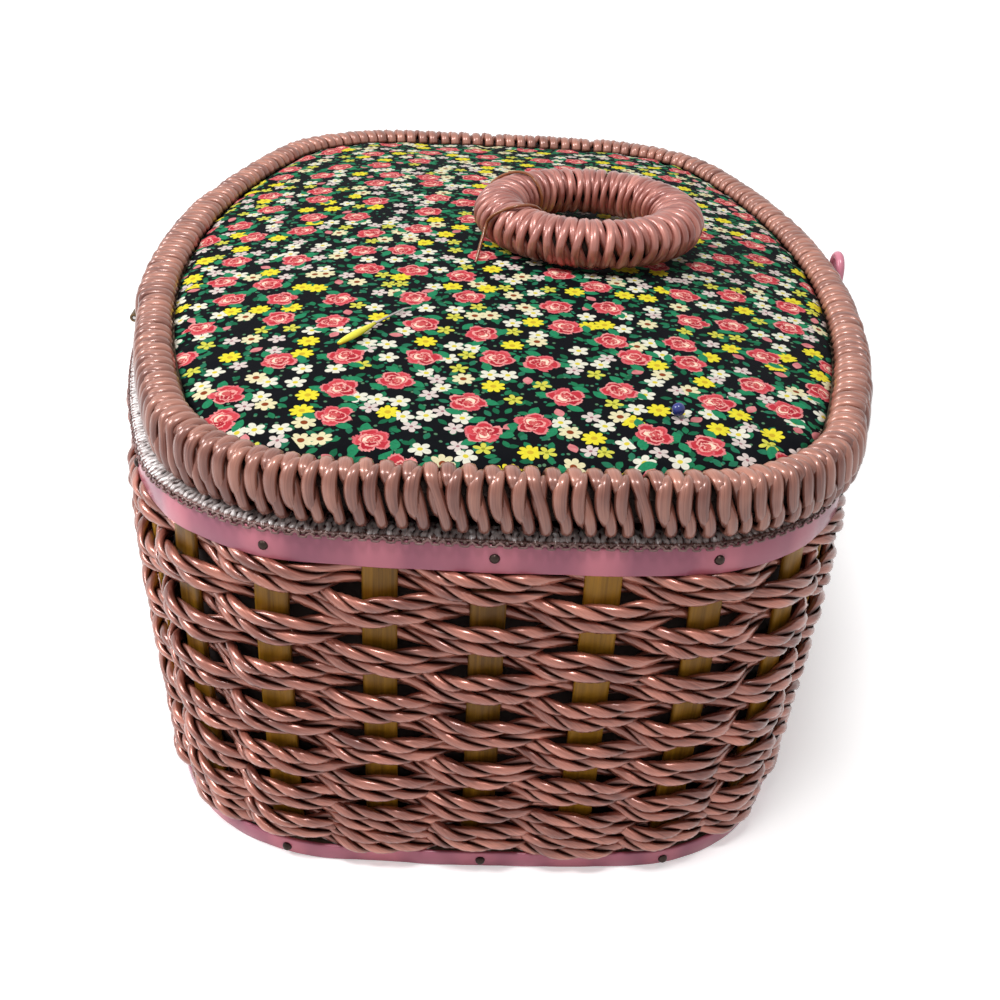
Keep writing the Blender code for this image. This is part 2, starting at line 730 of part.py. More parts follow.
def wrap_points():
    """One endless cord that winds round the ring."""
    half_width = (RING_SECTION_WIDTH - WRAP_CORD) / 2
    half_height = (RING_SECTION_HEIGHT - WRAP_CORD) / 2
    count = WRAP_LOOPS * WRAP_POINTS
    turns = [(2 * math.pi * i / count, 2 * math.pi * i / WRAP_POINTS) for i in range(count)]
    return [ring_surface(turn, section, half_width, half_height) for turn, section in turns]


def least_self_gap(points, diameter, skip):
    """Smallest clear distance between parts of a closed cord more than skip points apart."""
    count = len(points)
    gaps = [(points[i] - points[j]).length for i in range(count) for j in range(i + skip, count)
            if count - (j - i) >= skip]
    return min(gaps) - diameter


def make_handle(cord, reed, nylon, carrier):
    """Wound ring with its core and its two ties."""
    points = wrap_points()
    gap = least_self_gap(points, WRAP_CORD, WRAP_POINTS // 2)
    print(f"handle_wrap least gap to itself {gap * 1000:.2f} mm")
    make_tube("handle_wrap", points, WRAP_CORD / 2, cord, carrier, 1, cyclic=True)
    core = bmesh.new()
    half_width = RING_SECTION_WIDTH / 2 - WRAP_CORD - CORE_CLEARANCE
    half_height = RING_SECTION_HEIGHT / 2 - WRAP_CORD - CORE_CLEARANCE
    sections = [2 * math.pi * i / CORE_SIDES for i in range(CORE_SIDES)]
    turns = [2 * math.pi * i / CORE_STEPS for i in range(CORE_STEPS)]
    add_loft(core, [[ring_surface(t, s, half_width, half_height) for s in sections] for t in turns], closed=True)
    make_object("handle_core", core, reed, carrier)
    clear = SEAT_GAP + TIE_RADIUS
    for name, lean in (("handle_tie_left", TIE_ANGLE), ("handle_tie_right", -TIE_ANGLE)):
        turn = math.pi / 2 + lean
        sweep = np.linspace(-TIE_DIP, math.pi + TIE_DIP, TIE_STEPS)
        arch = [ring_surface(turn, float(s), RING_SECTION_WIDTH / 2 + clear, RING_SECTION_HEIGHT / 2 + clear)
                for s in sweep]
        foot = Vector((arch[0].x, carrier.location.y, carrier.location.z))
        inner = arch[-1] + Vector((0, 0, RING_BASE_Z + TIE_RADIUS - arch[-1].z))
        make_tube(name, [foot] + arch + [inner], TIE_RADIUS, nylon, carrier, 1)


# Hinges

HINGE_OUT = BODY_WIDTH / 2 + HINGE_AXIS_OUT
HINGE_Z = WALL_HEIGHT + HINGE_AXIS_RISE


def hinge_spans(left):
    """Start and end of each knuckle along X."""
    pitch = (HINGE_WIDTH + SEAT_GAP) / KNUCKLES
    return [(left + i * pitch, left + (i + 1) * pitch - SEAT_GAP) for i in range(KNUCKLES)]


def add_leaf(mesh, left, inset, shift_y, outer_y, z_low, z_high):
    """Plate whose inner face follows the curved side and whose outer face is flat."""
    right = left + HINGE_WIDTH
    plan = [(left, side_y(left, inset) + shift_y), (right, side_y(right, inset) + shift_y),
            (right, outer_y), (left, outer_y)]
    add_loft(mesh, [[(x, y, z) for x, y in plan] for z in (z_low, z_high)])


def add_cylinder(mesh, start_x, end_x, radius):
    """Cylinder along X on the hinge axis."""
    add_turned(mesh, (start_x, HINGE_OUT, HINGE_Z), (1, 0, 0), [(0, radius), (end_x - start_x, radius)])


def make_bore(left, material, carrier, label):
    """Guide that bores the knuckles for the pin."""
    bore = bmesh.new()
    add_cylinder(bore, left - CUT_OVERRUN, left + HINGE_WIDTH + CUT_OVERRUN, HINGE_PIN_RADIUS + SEAT_GAP)
    return make_object(label, bore, material, carrier)


def make_hinge(side, brass, steel, carrier):
    """Butt hinge on the back: body leaf, lid leaf and pin."""
    middle = {"left": -HINGE_SPREAD / 2, "right": HINGE_SPREAD / 2}[side]
    left = middle - HINGE_WIDTH / 2
    widest = min(abs(left), abs(left + HINGE_WIDTH))
    spans = hinge_spans(left)

    body_leaf = bmesh.new()
    body_outer = side_y(widest, 0) + SEAT_GAP + HINGE_PLATE
    add_leaf(body_leaf, left, -SEAT_GAP, 0, body_outer, WALL_HEIGHT - BODY_LEAF_DROP, HINGE_Z)
    leaf = make_object(f"hinge_body_leaf_{side}", body_leaf, brass)
    knuckles = bmesh.new()
    for start, end in (spans[0], spans[-1]):
        add_cylinder(knuckles, start, end, HINGE_BARREL_RADIUS)
    combine(leaf, make_object(f"hinge_body_knuckles_{side}", knuckles, brass), "UNION")
    middle_gap = bmesh.new()
    reach = HINGE_BARREL_RADIUS + SEAT_GAP
    add_cylinder(middle_gap, spans[1][0] - SEAT_GAP, spans[1][1] + SEAT_GAP, reach)
    combine(leaf, make_object(f"hinge_body_notch_{side}", middle_gap, brass), "DIFFERENCE")
    combine(leaf, make_bore(left, brass, None, f"hinge_body_bore_{side}"), "DIFFERENCE")

    lid_leaf = bmesh.new()
    lid_inset = -LID_OVERHANG - SEAT_GAP
    lid_outer = side_y(widest, lid_inset) + LID_SHIFT_Y + HINGE_PLATE
    arm_base = RIM_BASE
    add_leaf(lid_leaf, left, lid_inset, LID_SHIFT_Y, lid_outer, arm_base, arm_base + LID_LEAF_HEIGHT)
    leaf = make_object(f"hinge_lid_leaf_{side}", lid_leaf, brass, carrier)
    arm = bmesh.new()
    barrel_top = HINGE_Z + HINGE_BARREL_RADIUS
    add_box(arm, (spans[1][0], lid_outer - HINGE_PLATE, arm_base), (spans[1][1], HINGE_OUT, barrel_top))
    combine(leaf, make_object(f"hinge_lid_arm_{side}", arm, brass, carrier), "UNION")
    knuckle = bmesh.new()
    add_cylinder(knuckle, *spans[1], HINGE_BARREL_RADIUS)
    combine(leaf, make_object(f"hinge_lid_knuckle_{side}", knuckle, brass, carrier), "UNION")
    combine(leaf, make_bore(left, brass, carrier, f"hinge_lid_bore_{side}"), "DIFFERENCE")

    pin = bmesh.new()
    add_cylinder(pin, left, left + HINGE_WIDTH, HINGE_PIN_RADIUS)
    make_object(f"hinge_pin_{side}", pin, steel)


# Latch

def latch_x():
    """The latch sits over the stake to the right of the front's middle."""
    stakes = [outline_point(stake_angle(i), STAKE_INSET) for i in range(STAKE_COUNT)]
    return min(point.x for point in stakes if point.y < 0 and point.x > 0)


LATCH_X = latch_x()
RIM_FRONT_Y = LID_SHIFT_Y - side_y(LATCH_X, -LID_OVERHANG)
BRACKET_BACK_Y = RIM_FRONT_Y - SEAT_GAP
BRACKET_FRONT_Y = BRACKET_BACK_Y - BRACKET_PLATE
BAIL_Y = BRACKET_FRONT_Y - BAIL_STANDOFF - BAIL_WIRE / 2
BAIL_Z = RIM_BASE + BRACKET_RISE + EAR_WALL + SEAT_GAP + BAIL_WIRE / 2
BAIL_HALF = (BAIL_INNER_WIDTH + BAIL_WIRE) / 2
EAR_INNER = BAIL_HALF + BAIL_WIRE / 2 + RUNNING_GAP


def make_bail(material, carrier):
    """Coated wire hairpin with its ends turned out into the bracket's ears."""
    tip = BAIL_LENGTH - BAIL_HALF
    turns = [math.pi * i / BAIL_ARC_STEPS for i in range(BAIL_ARC_STEPS + 1)]
    arc = [(BAIL_HALF * math.cos(a), tip + BAIL_HALF * math.sin(a)) for a in turns]
    stub = BAIL_HALF + BAIL_STUB
    plan = [(stub, 0), (BAIL_HALF, 0)] + arc + [(-BAIL_HALF, 0), (-stub, 0)]
    points = [Vector((LATCH_X + x, BAIL_Y, BAIL_Z + z)) for x, z in plan]
    make_tube("latch_bail", points, BAIL_WIRE / 2, material, carrier, 1)


def make_bracket(material, carrier):
    """Plate on the rim with an ear on each side of the bail."""
    plate = bmesh.new()
    low = RIM_BASE + BRACKET_RISE
    half = EAR_INNER + EAR_THICKNESS
    add_box(plate, (LATCH_X - half, BRACKET_FRONT_Y, low), (LATCH_X + half, BRACKET_BACK_Y, low + BRACKET_HEIGHT))
    bracket = make_object("latch_bracket", plate, material, carrier, smooth=False)
    reach = BAIL_WIRE / 2 + SEAT_GAP + EAR_WALL
    for side, inner in (("left", -half), ("right", EAR_INNER)):
        ear = bmesh.new()
        start = LATCH_X + inner
        add_box(ear, (start, BAIL_Y - reach, low), (start + EAR_THICKNESS, BRACKET_BACK_Y, BAIL_Z + reach))
        combine(bracket, make_object(f"latch_ear_{side}", ear, material, carrier, smooth=False), "UNION")
    bore = bmesh.new()
    length = 2 * half + 2 * CUT_OVERRUN
    start = (LATCH_X - half - CUT_OVERRUN, BAIL_Y, BAIL_Z)
    add_turned(bore, start, (1, 0, 0), [(0, BAIL_WIRE / 2 + SEAT_GAP), (length, BAIL_WIRE / 2 + SEAT_GAP)])
    combine(bracket, make_object("latch_bore", bore, material, carrier), "DIFFERENCE")


def make_knob(material):
    """Turned knob on the band that the bail drops over."""
    mesh = bmesh.new()
    start_y = -side_y(LATCH_X, -SEAT_GAP)
    z = WALL_HEIGHT - KNOB_DROP
    head_start = start_y - (BAIL_Y - BAIL_WIRE / 2 - RUNNING_GAP)
    profile = [(0, KNOB_FLANGE_RADIUS), (KNOB_FLANGE, KNOB_FLANGE_RADIUS), (KNOB_FLANGE, KNOB_STEM_RADIUS),
               (head_start, KNOB_STEM_RADIUS), (head_start, KNOB_HEAD_RADIUS),
               (head_start + KNOB_HEAD - KNOB_EASE, KNOB_HEAD_RADIUS),
               (head_start + KNOB_HEAD, KNOB_HEAD_RADIUS - KNOB_EASE)]
    add_turned(mesh, (LATCH_X, start_y, z), (0, -1, 0), profile)
    make_object("latch_knob", mesh, material)


def main():
    """Build the whole basket."""
    remove_everything()
    materials = {
        "cord": make_material("pearl_cord", (0.62, 0.36, 0.33), 0.3),
        "bamboo": make_material("bamboo", (0.55, 0.4, 0.16), 0.5),
        "band": make_material("pink_plastic", (0.78, 0.4, 0.52), 0.35),
        "braid": make_material("silver_braid", (0.8, 0.72, 0.72), 0.3),
        "reed": make_material("reed", (0.66, 0.52, 0.34), 0.6),
        "board": make_material("board", (0.5, 0.4, 0.28), 0.7),
        "lining": make_material("lining_cloth", (0.72, 0.45, 0.5), 0.6),
        "print": make_material("printed_cloth", (0.03, 0.04, 0.04), 0.8),
        "foam": make_material("foam", (0.9, 0.88, 0.8), 0.9),
        "tray": make_material("tray_plastic", (0.85, 0.72, 0.74), 0.4),
        "steel": make_material("steel", (0.5, 0.47, 0.44), 0.35, 1.0),
        "brass": make_material("brass", (0.75, 0.6, 0.32), 0.35, 1.0),
        "nylon": make_material("nylon_thread", (0.6, 0.3, 0.12), 0.2),
        "yellow": make_material("yellow_plastic", (0.9, 0.85, 0.05), 0.3),
        "blue": make_material("blue_plastic", (0.05, 0.12, 0.7), 0.3),
    }
    make_body(materials)

    tray_axis = make_axis("tray_lift_axis", (0, 0, TRAY_BASE))
    make_tray(materials["tray"], tray_axis)

    lid_axis = make_axis("lid_hinge_axis", (0, HINGE_OUT, HINGE_Z))
    make_lid_rim(materials["cord"], lid_axis)
    make_lid_rods(materials["reed"], lid_axis)
    make_lid_board(materials["board"], lid_axis)
    make_lid_lining(materials["lining"], lid_axis)
    make_lid_pad(materials["foam"], lid_axis)
    make_lid_cover(materials["print"], lid_axis)
    make_lid_pins(materials["yellow"], materials["steel"], materials["blue"], lid_axis)
    make_hinge("left", materials["brass"], materials["steel"], lid_axis)
    make_hinge("right", materials["brass"], materials["steel"], lid_axis)
    make_bracket(materials["band"], lid_axis)
    make_knob(materials["band"])

    handle_y = RING_CENTRE_Y + RING_DIAMETER / 2 + SEAT_GAP
    handle_axis = make_axis("handle_axis", (0, handle_y, RING_BASE_Z + HANDLE_AXIS_RISE))
    make_handle(materials["cord"], materials["reed"], materials["nylon"], handle_axis)

    latch_axis = make_axis("latch_axis", (LATCH_X, BAIL_Y, BAIL_Z))
    make_bail(materials["band"], latch_axis)
    for name, axis in (("lid", lid_axis), ("handle", handle_axis), ("latch", latch_axis), ("tray", tray_axis)):
        print(name, "axis at", [round(value, 5) for value in axis.location])


main()
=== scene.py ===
import math

import bpy
import numpy as np
from mathutils import Matrix, Vector


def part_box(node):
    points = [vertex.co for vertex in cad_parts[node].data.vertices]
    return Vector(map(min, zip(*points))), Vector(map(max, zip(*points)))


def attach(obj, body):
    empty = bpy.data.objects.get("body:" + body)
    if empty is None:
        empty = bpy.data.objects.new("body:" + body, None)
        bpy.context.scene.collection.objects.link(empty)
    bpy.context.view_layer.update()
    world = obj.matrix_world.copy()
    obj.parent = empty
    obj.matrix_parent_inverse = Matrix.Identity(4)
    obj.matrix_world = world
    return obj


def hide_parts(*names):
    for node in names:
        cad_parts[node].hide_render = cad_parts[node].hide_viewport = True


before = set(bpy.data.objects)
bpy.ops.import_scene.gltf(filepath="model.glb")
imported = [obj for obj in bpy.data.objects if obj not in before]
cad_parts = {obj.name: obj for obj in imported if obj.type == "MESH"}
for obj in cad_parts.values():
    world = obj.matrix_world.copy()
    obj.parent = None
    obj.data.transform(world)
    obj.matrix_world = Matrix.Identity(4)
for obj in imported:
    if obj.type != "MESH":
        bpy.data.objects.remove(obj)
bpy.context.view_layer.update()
rng = np.random.default_rng(7)

MM = 0.001
FULL_TURN = 2 * math.pi
UP = np.array([0, 0, 1.0])
WALL_STEPS = 300

# Outline of the body, on the outer face of the top band
BODY_LENGTH = 318 * MM
BODY_WIDTH = 221 * MM
LONG_SIDE_RADIUS = 365.5 * MM
SHORT_SIDE_RADIUS = 627.5 * MM
CORNER_RADIUS = 55 * MM
BASE_DRAW = 4 * MM
DRAW_POWER = 2.8
OUTLINE_SAMPLES = 20001
# Share of the outline's size at which a flat part has shrunk to a point
POINT = 0.0005

# Heights and insets, read off the frame where it has them
BAND_LOW, WALL_HEIGHT = (corner.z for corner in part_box("inner_hoop"))
BASE_BAND_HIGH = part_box("base_band")[1].z
BRAID_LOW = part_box("rim_braid")[0].z
RIM_LOW, RIM_HIGH = (corner.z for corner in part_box("lid_rim"))
COVER_LOW, DOME_TOP = (corner.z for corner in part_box("lid_cover"))
DOME_CROWN = 8 * MM
DOME_POWER = 2.2
BAND_THICKNESS = 1.2 * MM
STAKE_INSET = 2.65 * MM
STAKE_COUNT = 34
STAKE_HALF_WIDTH = 4.25 * MM
NAIL_RADIUS = 1.35 * MM
NAIL_RISE = 1.15 * MM
LINING_INSET = 7.45 * MM
LINING_THICKNESS = 2 * MM
LINING_BACK = 1.0 * MM
LID_OVERHANG = 1.45 * MM
LID_SHIFT = -3.1 * MM
RIM_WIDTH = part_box("lid_rim")[1].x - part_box("lid_cover")[1].x - 0.3 * MM

# Camera that took the photo
CAMERA_PLACE = Vector((-420.74, 8.30, 262.08)) * MM
CAMERA_RIGHT = Vector((-0.00776, -0.99876, 0.04924))
CAMERA_UP = Vector((0.4872, 0.03922, 0.87241))
CAMERA_LENS = 47.66
CAMERA_SENSOR = 36

# Woven ropes: two to a row, each of two strands twisted together
ROW_COUNT = 14
ROPE_RINGS = 1000
ROPE_SIDES = 8
ROPE_PITCH = 19.5 * MM
ROPE_REACH_OUT = 3.05 * MM
ROPE_REACH_IN = 2.6 * MM
ROPE_SPACING = 3.75 * MM
ROPE_SPREAD = 0.4 * MM
ROPE_SEAT = 3.6 * MM
ROPE_WANDER = 0.3 * MM
STRAND_OFFSET = 0.98 * MM
STRAND_WIDE = 1.42 * MM
STRAND_DEEP = 1.14 * MM

# Trim on the body's top edge; its marks lie across it, as inset and rise over its foot in mm
RIB_PITCH = 1.6 * MM
RIB_DEEP = 0.5 * MM
TRIM_MIDDLE = 3.6 * MM
LOOP_PITCH = 3.3 * MM
LOOP_RADIUS = 0.3 * MM
TRIM_MARKS = ((7.2, 0.5), (5.4, 1.0), (3.4, 1.0), (1.8, 0.7), (0.8, 0.3), (0.2, 0.0), (0.1, -0.3))

# Lashing of the lid's rim
LASH_PERIOD = 4.76 * MM
LASH_WIDE = 1.58 * MM
LASH_DEEP = 1.25 * MM
LASH_SINK = 2.1 * MM
LASH_POINTS = 36
# Above this chance the under strand of a pair rises and the over strand sinks
LASH_STRAY = 0.88
HINGE_ZONE = 52 * MM
HINGE_SWELL = 1.2 * MM
RIM_SECTION_SHARES = (
    (1.0, 0.74), (0.93, 0.88), (0.79, 0.965), (0.6, 1.0), (0.4, 0.99), (0.21, 0.94), (0.08, 0.83),
    (0.015, 0.66), (0.0, 0.46), (0.02, 0.25), (0.1, 0.08), (0.26, 0.0), (0.45, 0.0), (0.66, 0.05))

# Ring handle
RING_LOW, RING_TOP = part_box("handle_wrap")
RING_CENTRE = (RING_LOW + RING_TOP) / 2
RING_DIAMETER = RING_TOP.x - RING_LOW.x
RING_HIGH = RING_TOP.z - RING_LOW.z
RING_WIDE = 17.4 * MM
RING_LOOPS = 47
RING_POINTS = 26
RING_CORE_DEPTH = 3.4 * MM
TIE_RADIUS = 0.5 * MM
TIE_LEAN = math.radians(42)

# Shafts of the two pins
FLAT_PIN_RADIUS = 0.38 * MM
BALL_PIN_RADIUS = 0.3 * MM

# Latch
LATCH_WIRE = 3.0 * MM
LATCH_HALF = 4.7 * MM

# Tray and its dividers, in mm: from where to where each runs, and their section as across and up
TRAY_INSET = 11.45 * MM
TRAY_WALL = 1.8 * MM
TRAY_DIVIDERS = (((-139, 18), (139, 18)), ((-45, 17), (-45, -94)), ((45, 17), (45, -94)))
DIVIDER_STEPS = 12
DIVIDER_PROFILE = ((-0.9, 1.0), (-0.9, 22.0), (-0.6, 22.5), (0.0, 22.7), (0.6, 22.5), (0.9, 22.0), (0.9, 1.0),
                   (0.0, 0.9))

# The body's long sides lean in a little more towards the foot than the ends do
FOOT_LEAN = 0.024
FOOT_LEAN_LOW = 15 * MM
FOOT_LEAN_HIGH = 85 * MM

SKIN = {}


# Outline

LONG_CENTRE = np.array([0, BODY_WIDTH / 2 - LONG_SIDE_RADIUS])
SHORT_CENTRE = np.array([BODY_LENGTH / 2 - SHORT_SIDE_RADIUS, 0])


def corner_centre():
    """Centre of the corner arc that meets both side arcs without a kink."""
    long_reach = LONG_SIDE_RADIUS - CORNER_RADIUS
    short_reach = SHORT_SIDE_RADIUS - CORNER_RADIUS
    between = SHORT_CENTRE - LONG_CENTRE
    span = np.hypot(*between)
    along = (long_reach ** 2 - short_reach ** 2 + span ** 2) / (2 * span)
    across = math.sqrt(long_reach ** 2 - along ** 2)
    way = between / span
    return LONG_CENTRE + along * way + across * np.array([way[1], -way[0]])


CORNER_CENTRE = corner_centre()
LONG_JOIN = math.atan2(*(CORNER_CENTRE - LONG_CENTRE)[::-1])
SHORT_JOIN = math.atan2(*(CORNER_CENTRE - SHORT_CENTRE)[::-1])


def arc_at(angle):
    """Centre and radius of the arc that the outline follows at these normal angles."""
    folded = np.arctan2(np.abs(np.sin(angle)), np.abs(np.cos(angle)))
    on_arc = [folded > LONG_JOIN, folded < SHORT_JOIN]
    x = np.select(on_arc, [LONG_CENTRE[0], SHORT_CENTRE[0]], CORNER_CENTRE[0])
    y = np.select(on_arc, [LONG_CENTRE[1], SHORT_CENTRE[1]], CORNER_CENTRE[1])
    radius = np.select(on_arc, [LONG_SIDE_RADIUS, SHORT_SIDE_RADIUS], CORNER_RADIUS)
    return x, y, radius


def outline(angle, inset=0.0, z=0.0, shift=0.0):
    """Points of the outline whose outward normals lie at these angles."""
    angle, inset, z = np.broadcast_arrays(np.asarray(angle, float), inset, z)
    centre_x, centre_y, radius = arc_at(angle)
    x = np.copysign(centre_x + (radius - inset) * np.abs(np.cos(angle)), np.cos(angle))
    y = np.copysign(centre_y + (radius - inset) * np.abs(np.sin(angle)), np.sin(angle))
    return np.stack([x, y + shift, z], -1)


def outline_run(inset):
    """Dense normal angles round the outline, and its length up to each of them."""
    dense = np.linspace(0, FULL_TURN, OUTLINE_SAMPLES)
    middle = (dense[1:] + dense[:-1]) / 2
    steps = (arc_at(middle)[2] - inset) * np.diff(dense)
    return dense, np.concatenate(([0], np.cumsum(steps)))


def angles_at(share, inset=0.0):
    """Normal angles at these shares of the outline's length, from the +X end."""
    dense, length = outline_run(inset)
    share = np.asarray(share, float)
    rounds = np.floor(share)
    return np.interp((share - rounds) * length[-1], length, dense) + rounds * FULL_TURN


def outline_length(inset):
    """Length of the outline at this inset."""
    return float(outline_run(inset)[1][-1])


def even(count):
    """Evenly spaced shares of a closed outline."""
    return np.arange(count) / count


def flat_ring(rim, reach, z, shift=0.0):
    """Outline drawn in to this share of its size, at this height."""
    return rim * np.array([reach, reach, 0]) + np.array([0, shift, z])


def facing(angle):
    """Outward unit vectors."""
    angle = np.asarray(angle, float)
    return np.stack([np.cos(angle), np.sin(angle), np.zeros_like(angle)], -1)


def along(angle):
    """Unit vectors along the wall, counter-clockwise seen from above."""
    angle = np.asarray(angle, float)
    return np.stack([-np.sin(angle), np.cos(angle), np.zeros_like(angle)], -1)


def draw_at(z):
    """How far the wall is drawn in at this height."""
    rise = np.clip(np.asarray(z, float) / WALL_HEIGHT, 0, 1)
    return BASE_DRAW * (1 - rise) ** DRAW_POWER


def ease(x, low, high):
    """Smooth step from 0 at low to 1 at high."""
    t = np.clip((np.asarray(x, float) - low) / (high - low), 0, 1)
    return t * t * (3 - 2 * t)


def waves(share, size, lowest, highest):
    """Periodic wander along a closed path: a few random waves that add up to about size."""
    total = np.zeros_like(share)
    count = highest - lowest + 1
    for harmonic in range(lowest, highest + 1):
        total += rng.normal() * np.sin(FULL_TURN * (harmonic * share + rng.random()))
    return size * total / math.sqrt(count / 2)


# Meshes

class Build:
    """Collects quads and point values for one piece."""

    def __init__(self):
        self.points = []
        self.quads = []
        self.fibres = []
        self.tints = []
        self.count = 0

    def add(self, points, quads, fibre=None, tint=0.5):
        """Add points with their faces, fibre places and tint."""
        points = np.asarray(points, float).reshape(-1, 3)
        self.points.append(points)
        self.quads.append(np.asarray(quads, int).reshape(-1, 4) + self.count)
        self.fibres.append(points if fibre is None else np.asarray(fibre, float).reshape(-1, 3))
        self.tints.append(np.broadcast_to(tint, (len(points),)))
        self.count += len(points)

    def finish(self, name, body, skin, replaces=()):
        """Turn what was collected into a piece that rides on a body."""
        points = np.concatenate(self.points)
        if body == "basket":
            points[:, 1] *= 1 - FOOT_LEAN * (1 - ease(points[:, 2], FOOT_LEAN_LOW, FOOT_LEAN_HIGH))
        quads = np.concatenate(self.quads)
        mesh = bpy.data.meshes.new(name)
        mesh.vertices.add(len(points))
        mesh.vertices.foreach_set("co", points.astype(np.float32).ravel())
        mesh.loops.add(quads.size)
        mesh.loops.foreach_set("vertex_index", quads.astype(np.int32).ravel())
        mesh.polygons.add(len(quads))
        mesh.polygons.foreach_set("loop_start", np.arange(0, quads.size, 4, dtype=np.int32))
        mesh.polygons.foreach_set("use_smooth", np.full(len(quads), True))
        mesh.update(calc_edges=True)
        fibre = mesh.attributes.new("fibre", "FLOAT_VECTOR", "POINT")
        fibre.data.foreach_set("vector", np.concatenate(self.fibres).astype(np.float32).ravel())
        tint = mesh.attributes.new("tint", "FLOAT", "POINT")
        tint.data.foreach_set("value", np.concatenate(self.tints).astype(np.float32))
        mesh.materials.append(SKIN[skin])
        piece = link(name, mesh)
        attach(piece, body)
        if replaces:
            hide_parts(*replaces)
        return piece


def link(name, data):
    """New object with this data, in the scene."""
    item = bpy.data.objects.new(name, data)
    bpy.context.scene.collection.objects.link(item)
    return item


def unit(vectors):
    """Vectors scaled to length one."""
    return vectors / np.linalg.norm(vectors, axis=-1, keepdims=True)


def ring_quads(rows, columns, closed):
    """Faces between neighbouring rings of a tube, wound to face outwards."""
    last = rows if closed else rows - 1
    i, j = np.meshgrid(np.arange(last), np.arange(columns), indexing="ij")
    here, there = i * columns, (i + 1) % rows * columns
    following = (j + 1) % columns
    return np.stack([here + j, here + following, there + following, there + j], -1).reshape(-1, 4)


def cap_quads(start, columns, backwards):
    """Faces that close one end of a tube with an even number of sides."""
    strip = [(i, i + 1, columns - 2 - i, columns - 1 - i) for i in range(columns // 2 - 1)]
    quads = np.array(strip) + start
    return quads[:, ::-1] if backwards else quads


def capped_quads(rows, columns):
    """Faces of an open tube with both its ends closed."""
    ends = [cap_quads(0, columns, True), cap_quads((rows - 1) * columns, columns, False)]
    return np.concatenate([ring_quads(rows, columns, False)] + ends)


def sweep(build, path, across, half_wide, half_deep, sides=8, closed=False, tint=0.5, fibre_start=0.0):
    """Cord along a path: across is the direction of its width at each point."""
    path = np.asarray(path, float)
    count = len(path)
    if closed:
        way = unit(np.roll(path, -1, 0) - np.roll(path, 1, 0))
    else:
        way = unit(np.gradient(path, axis=0))
    across = np.broadcast_to(across, path.shape)
    wide = unit(across - (across * way).sum(-1, keepdims=True) * way)
    deep = np.cross(way, wide)
    half_wide = np.broadcast_to(half_wide, (count,))[:, None]
    half_deep = np.broadcast_to(half_deep, (count,))[:, None]
    turn = FULL_TURN * np.arange(sides) / sides
    ring_x = half_wide * np.cos(turn)
    ring_y = half_deep * np.sin(turn)
    points = path[:, None] + ring_x[..., None] * wide[:, None] + ring_y[..., None] * deep[:, None]
    steps = np.linalg.norm(np.diff(path, axis=0), axis=-1)
    run = fibre_start + np.concatenate(([0], np.cumsum(steps)))
    fibre = np.stack([ring_x, ring_y, np.broadcast_to(run[:, None], ring_x.shape)], -1)
    quads = ring_quads(count, sides, True) if closed else capped_quads(count, sides)
    tint = np.repeat(np.broadcast_to(tint, (count,)), sides)
    build.add(points, quads, fibre, tint)


def wall_ring(build, section, angles, shift=0.0):
    """Closed section of (inset, z) points carried round the whole outline."""
    section = np.array(section)
    columns = len(section)
    rings = [outline(angles, inset, z, shift) for inset, z in section]
    points = np.stack(rings, 1)
    run = np.linalg.norm(np.diff(points[:, 0], axis=0), axis=-1)
    length = np.concatenate(([0], np.cumsum(run)))
    around = np.concatenate(([0], np.cumsum(np.linalg.norm(np.diff(section, axis=0), axis=-1))))
    fibre = np.stack(np.broadcast_arrays(around[None], 0.0, length[:, None]), -1)
    build.add(points, ring_quads(len(angles), columns, True), fibre)


def curve_through(marks, count):
    """Evenly spaced points on a smooth curve through these points."""
    marks = np.asarray(marks, float)
    padded = np.vstack([2 * marks[0] - marks[1], marks, 2 * marks[-1] - marks[-2]])
    spots = []
    for i in range(len(marks) - 1):
        a, b, c, d = padded[i:i + 4]
        for t in np.arange(8) / 8:
            spots.append(0.5 * ((2 * b) + (c - a) * t + (2 * a - 5 * b + 4 * c - d) * t ** 2
                                + (3 * b - a - 3 * c + d) * t ** 3))
    spots = np.array(spots + [marks[-1]])
    run = np.concatenate(([0], np.cumsum(np.linalg.norm(np.diff(spots, axis=0), axis=-1))))
    marks_along = np.linspace(0, run[-1], count)
    return np.stack([np.interp(marks_along, run, column) for column in spots.T], -1)


def round_section(outer, inner, low, high, radius, steps=3):
    """Section of a strip between two insets and two heights, with rounded corners."""
    section = []
    corners = [(outer + radius, high - radius, 90), (outer + radius, low + radius, 180),
               (inner - radius, low + radius, 270), (inner - radius, high - radius, 0)]
    for x, z, start in corners:
        for i in range(steps + 1):
            turn = math.radians(start + 90 * i / steps)
            section.append((x + radius * math.cos(turn), z + radius * math.sin(turn)))
    return section


def dome(build, place, normal, radius, height, sides=12, rings=4):
    """Low domed head, closed at its back, facing along normal."""
    normal = unit(np.asarray(normal, float))
    helper = UP if abs(normal[2]) < 0.9 else np.array([1.0, 0, 0])
    wide = unit(np.cross(helper, normal))
    high = np.cross(normal, wide)
    turn = FULL_TURN * np.arange(sides) / sides
    points = []
    for i in range(rings + 1):
        lift = math.pi / 2 * i / (rings + 0.4)
        reach = radius * math.cos(lift)
        ring = np.cos(turn)[:, None] * wide + np.sin(turn)[:, None] * high
        points.append(np.asarray(place) + reach * ring + normal * height * math.sin(lift))
    build.add(np.concatenate(points), capped_quads(rings + 1, sides))


# Materials

CLOTH_THREAD = 0.5 * MM
PRINT_THREAD = 0.42 * MM


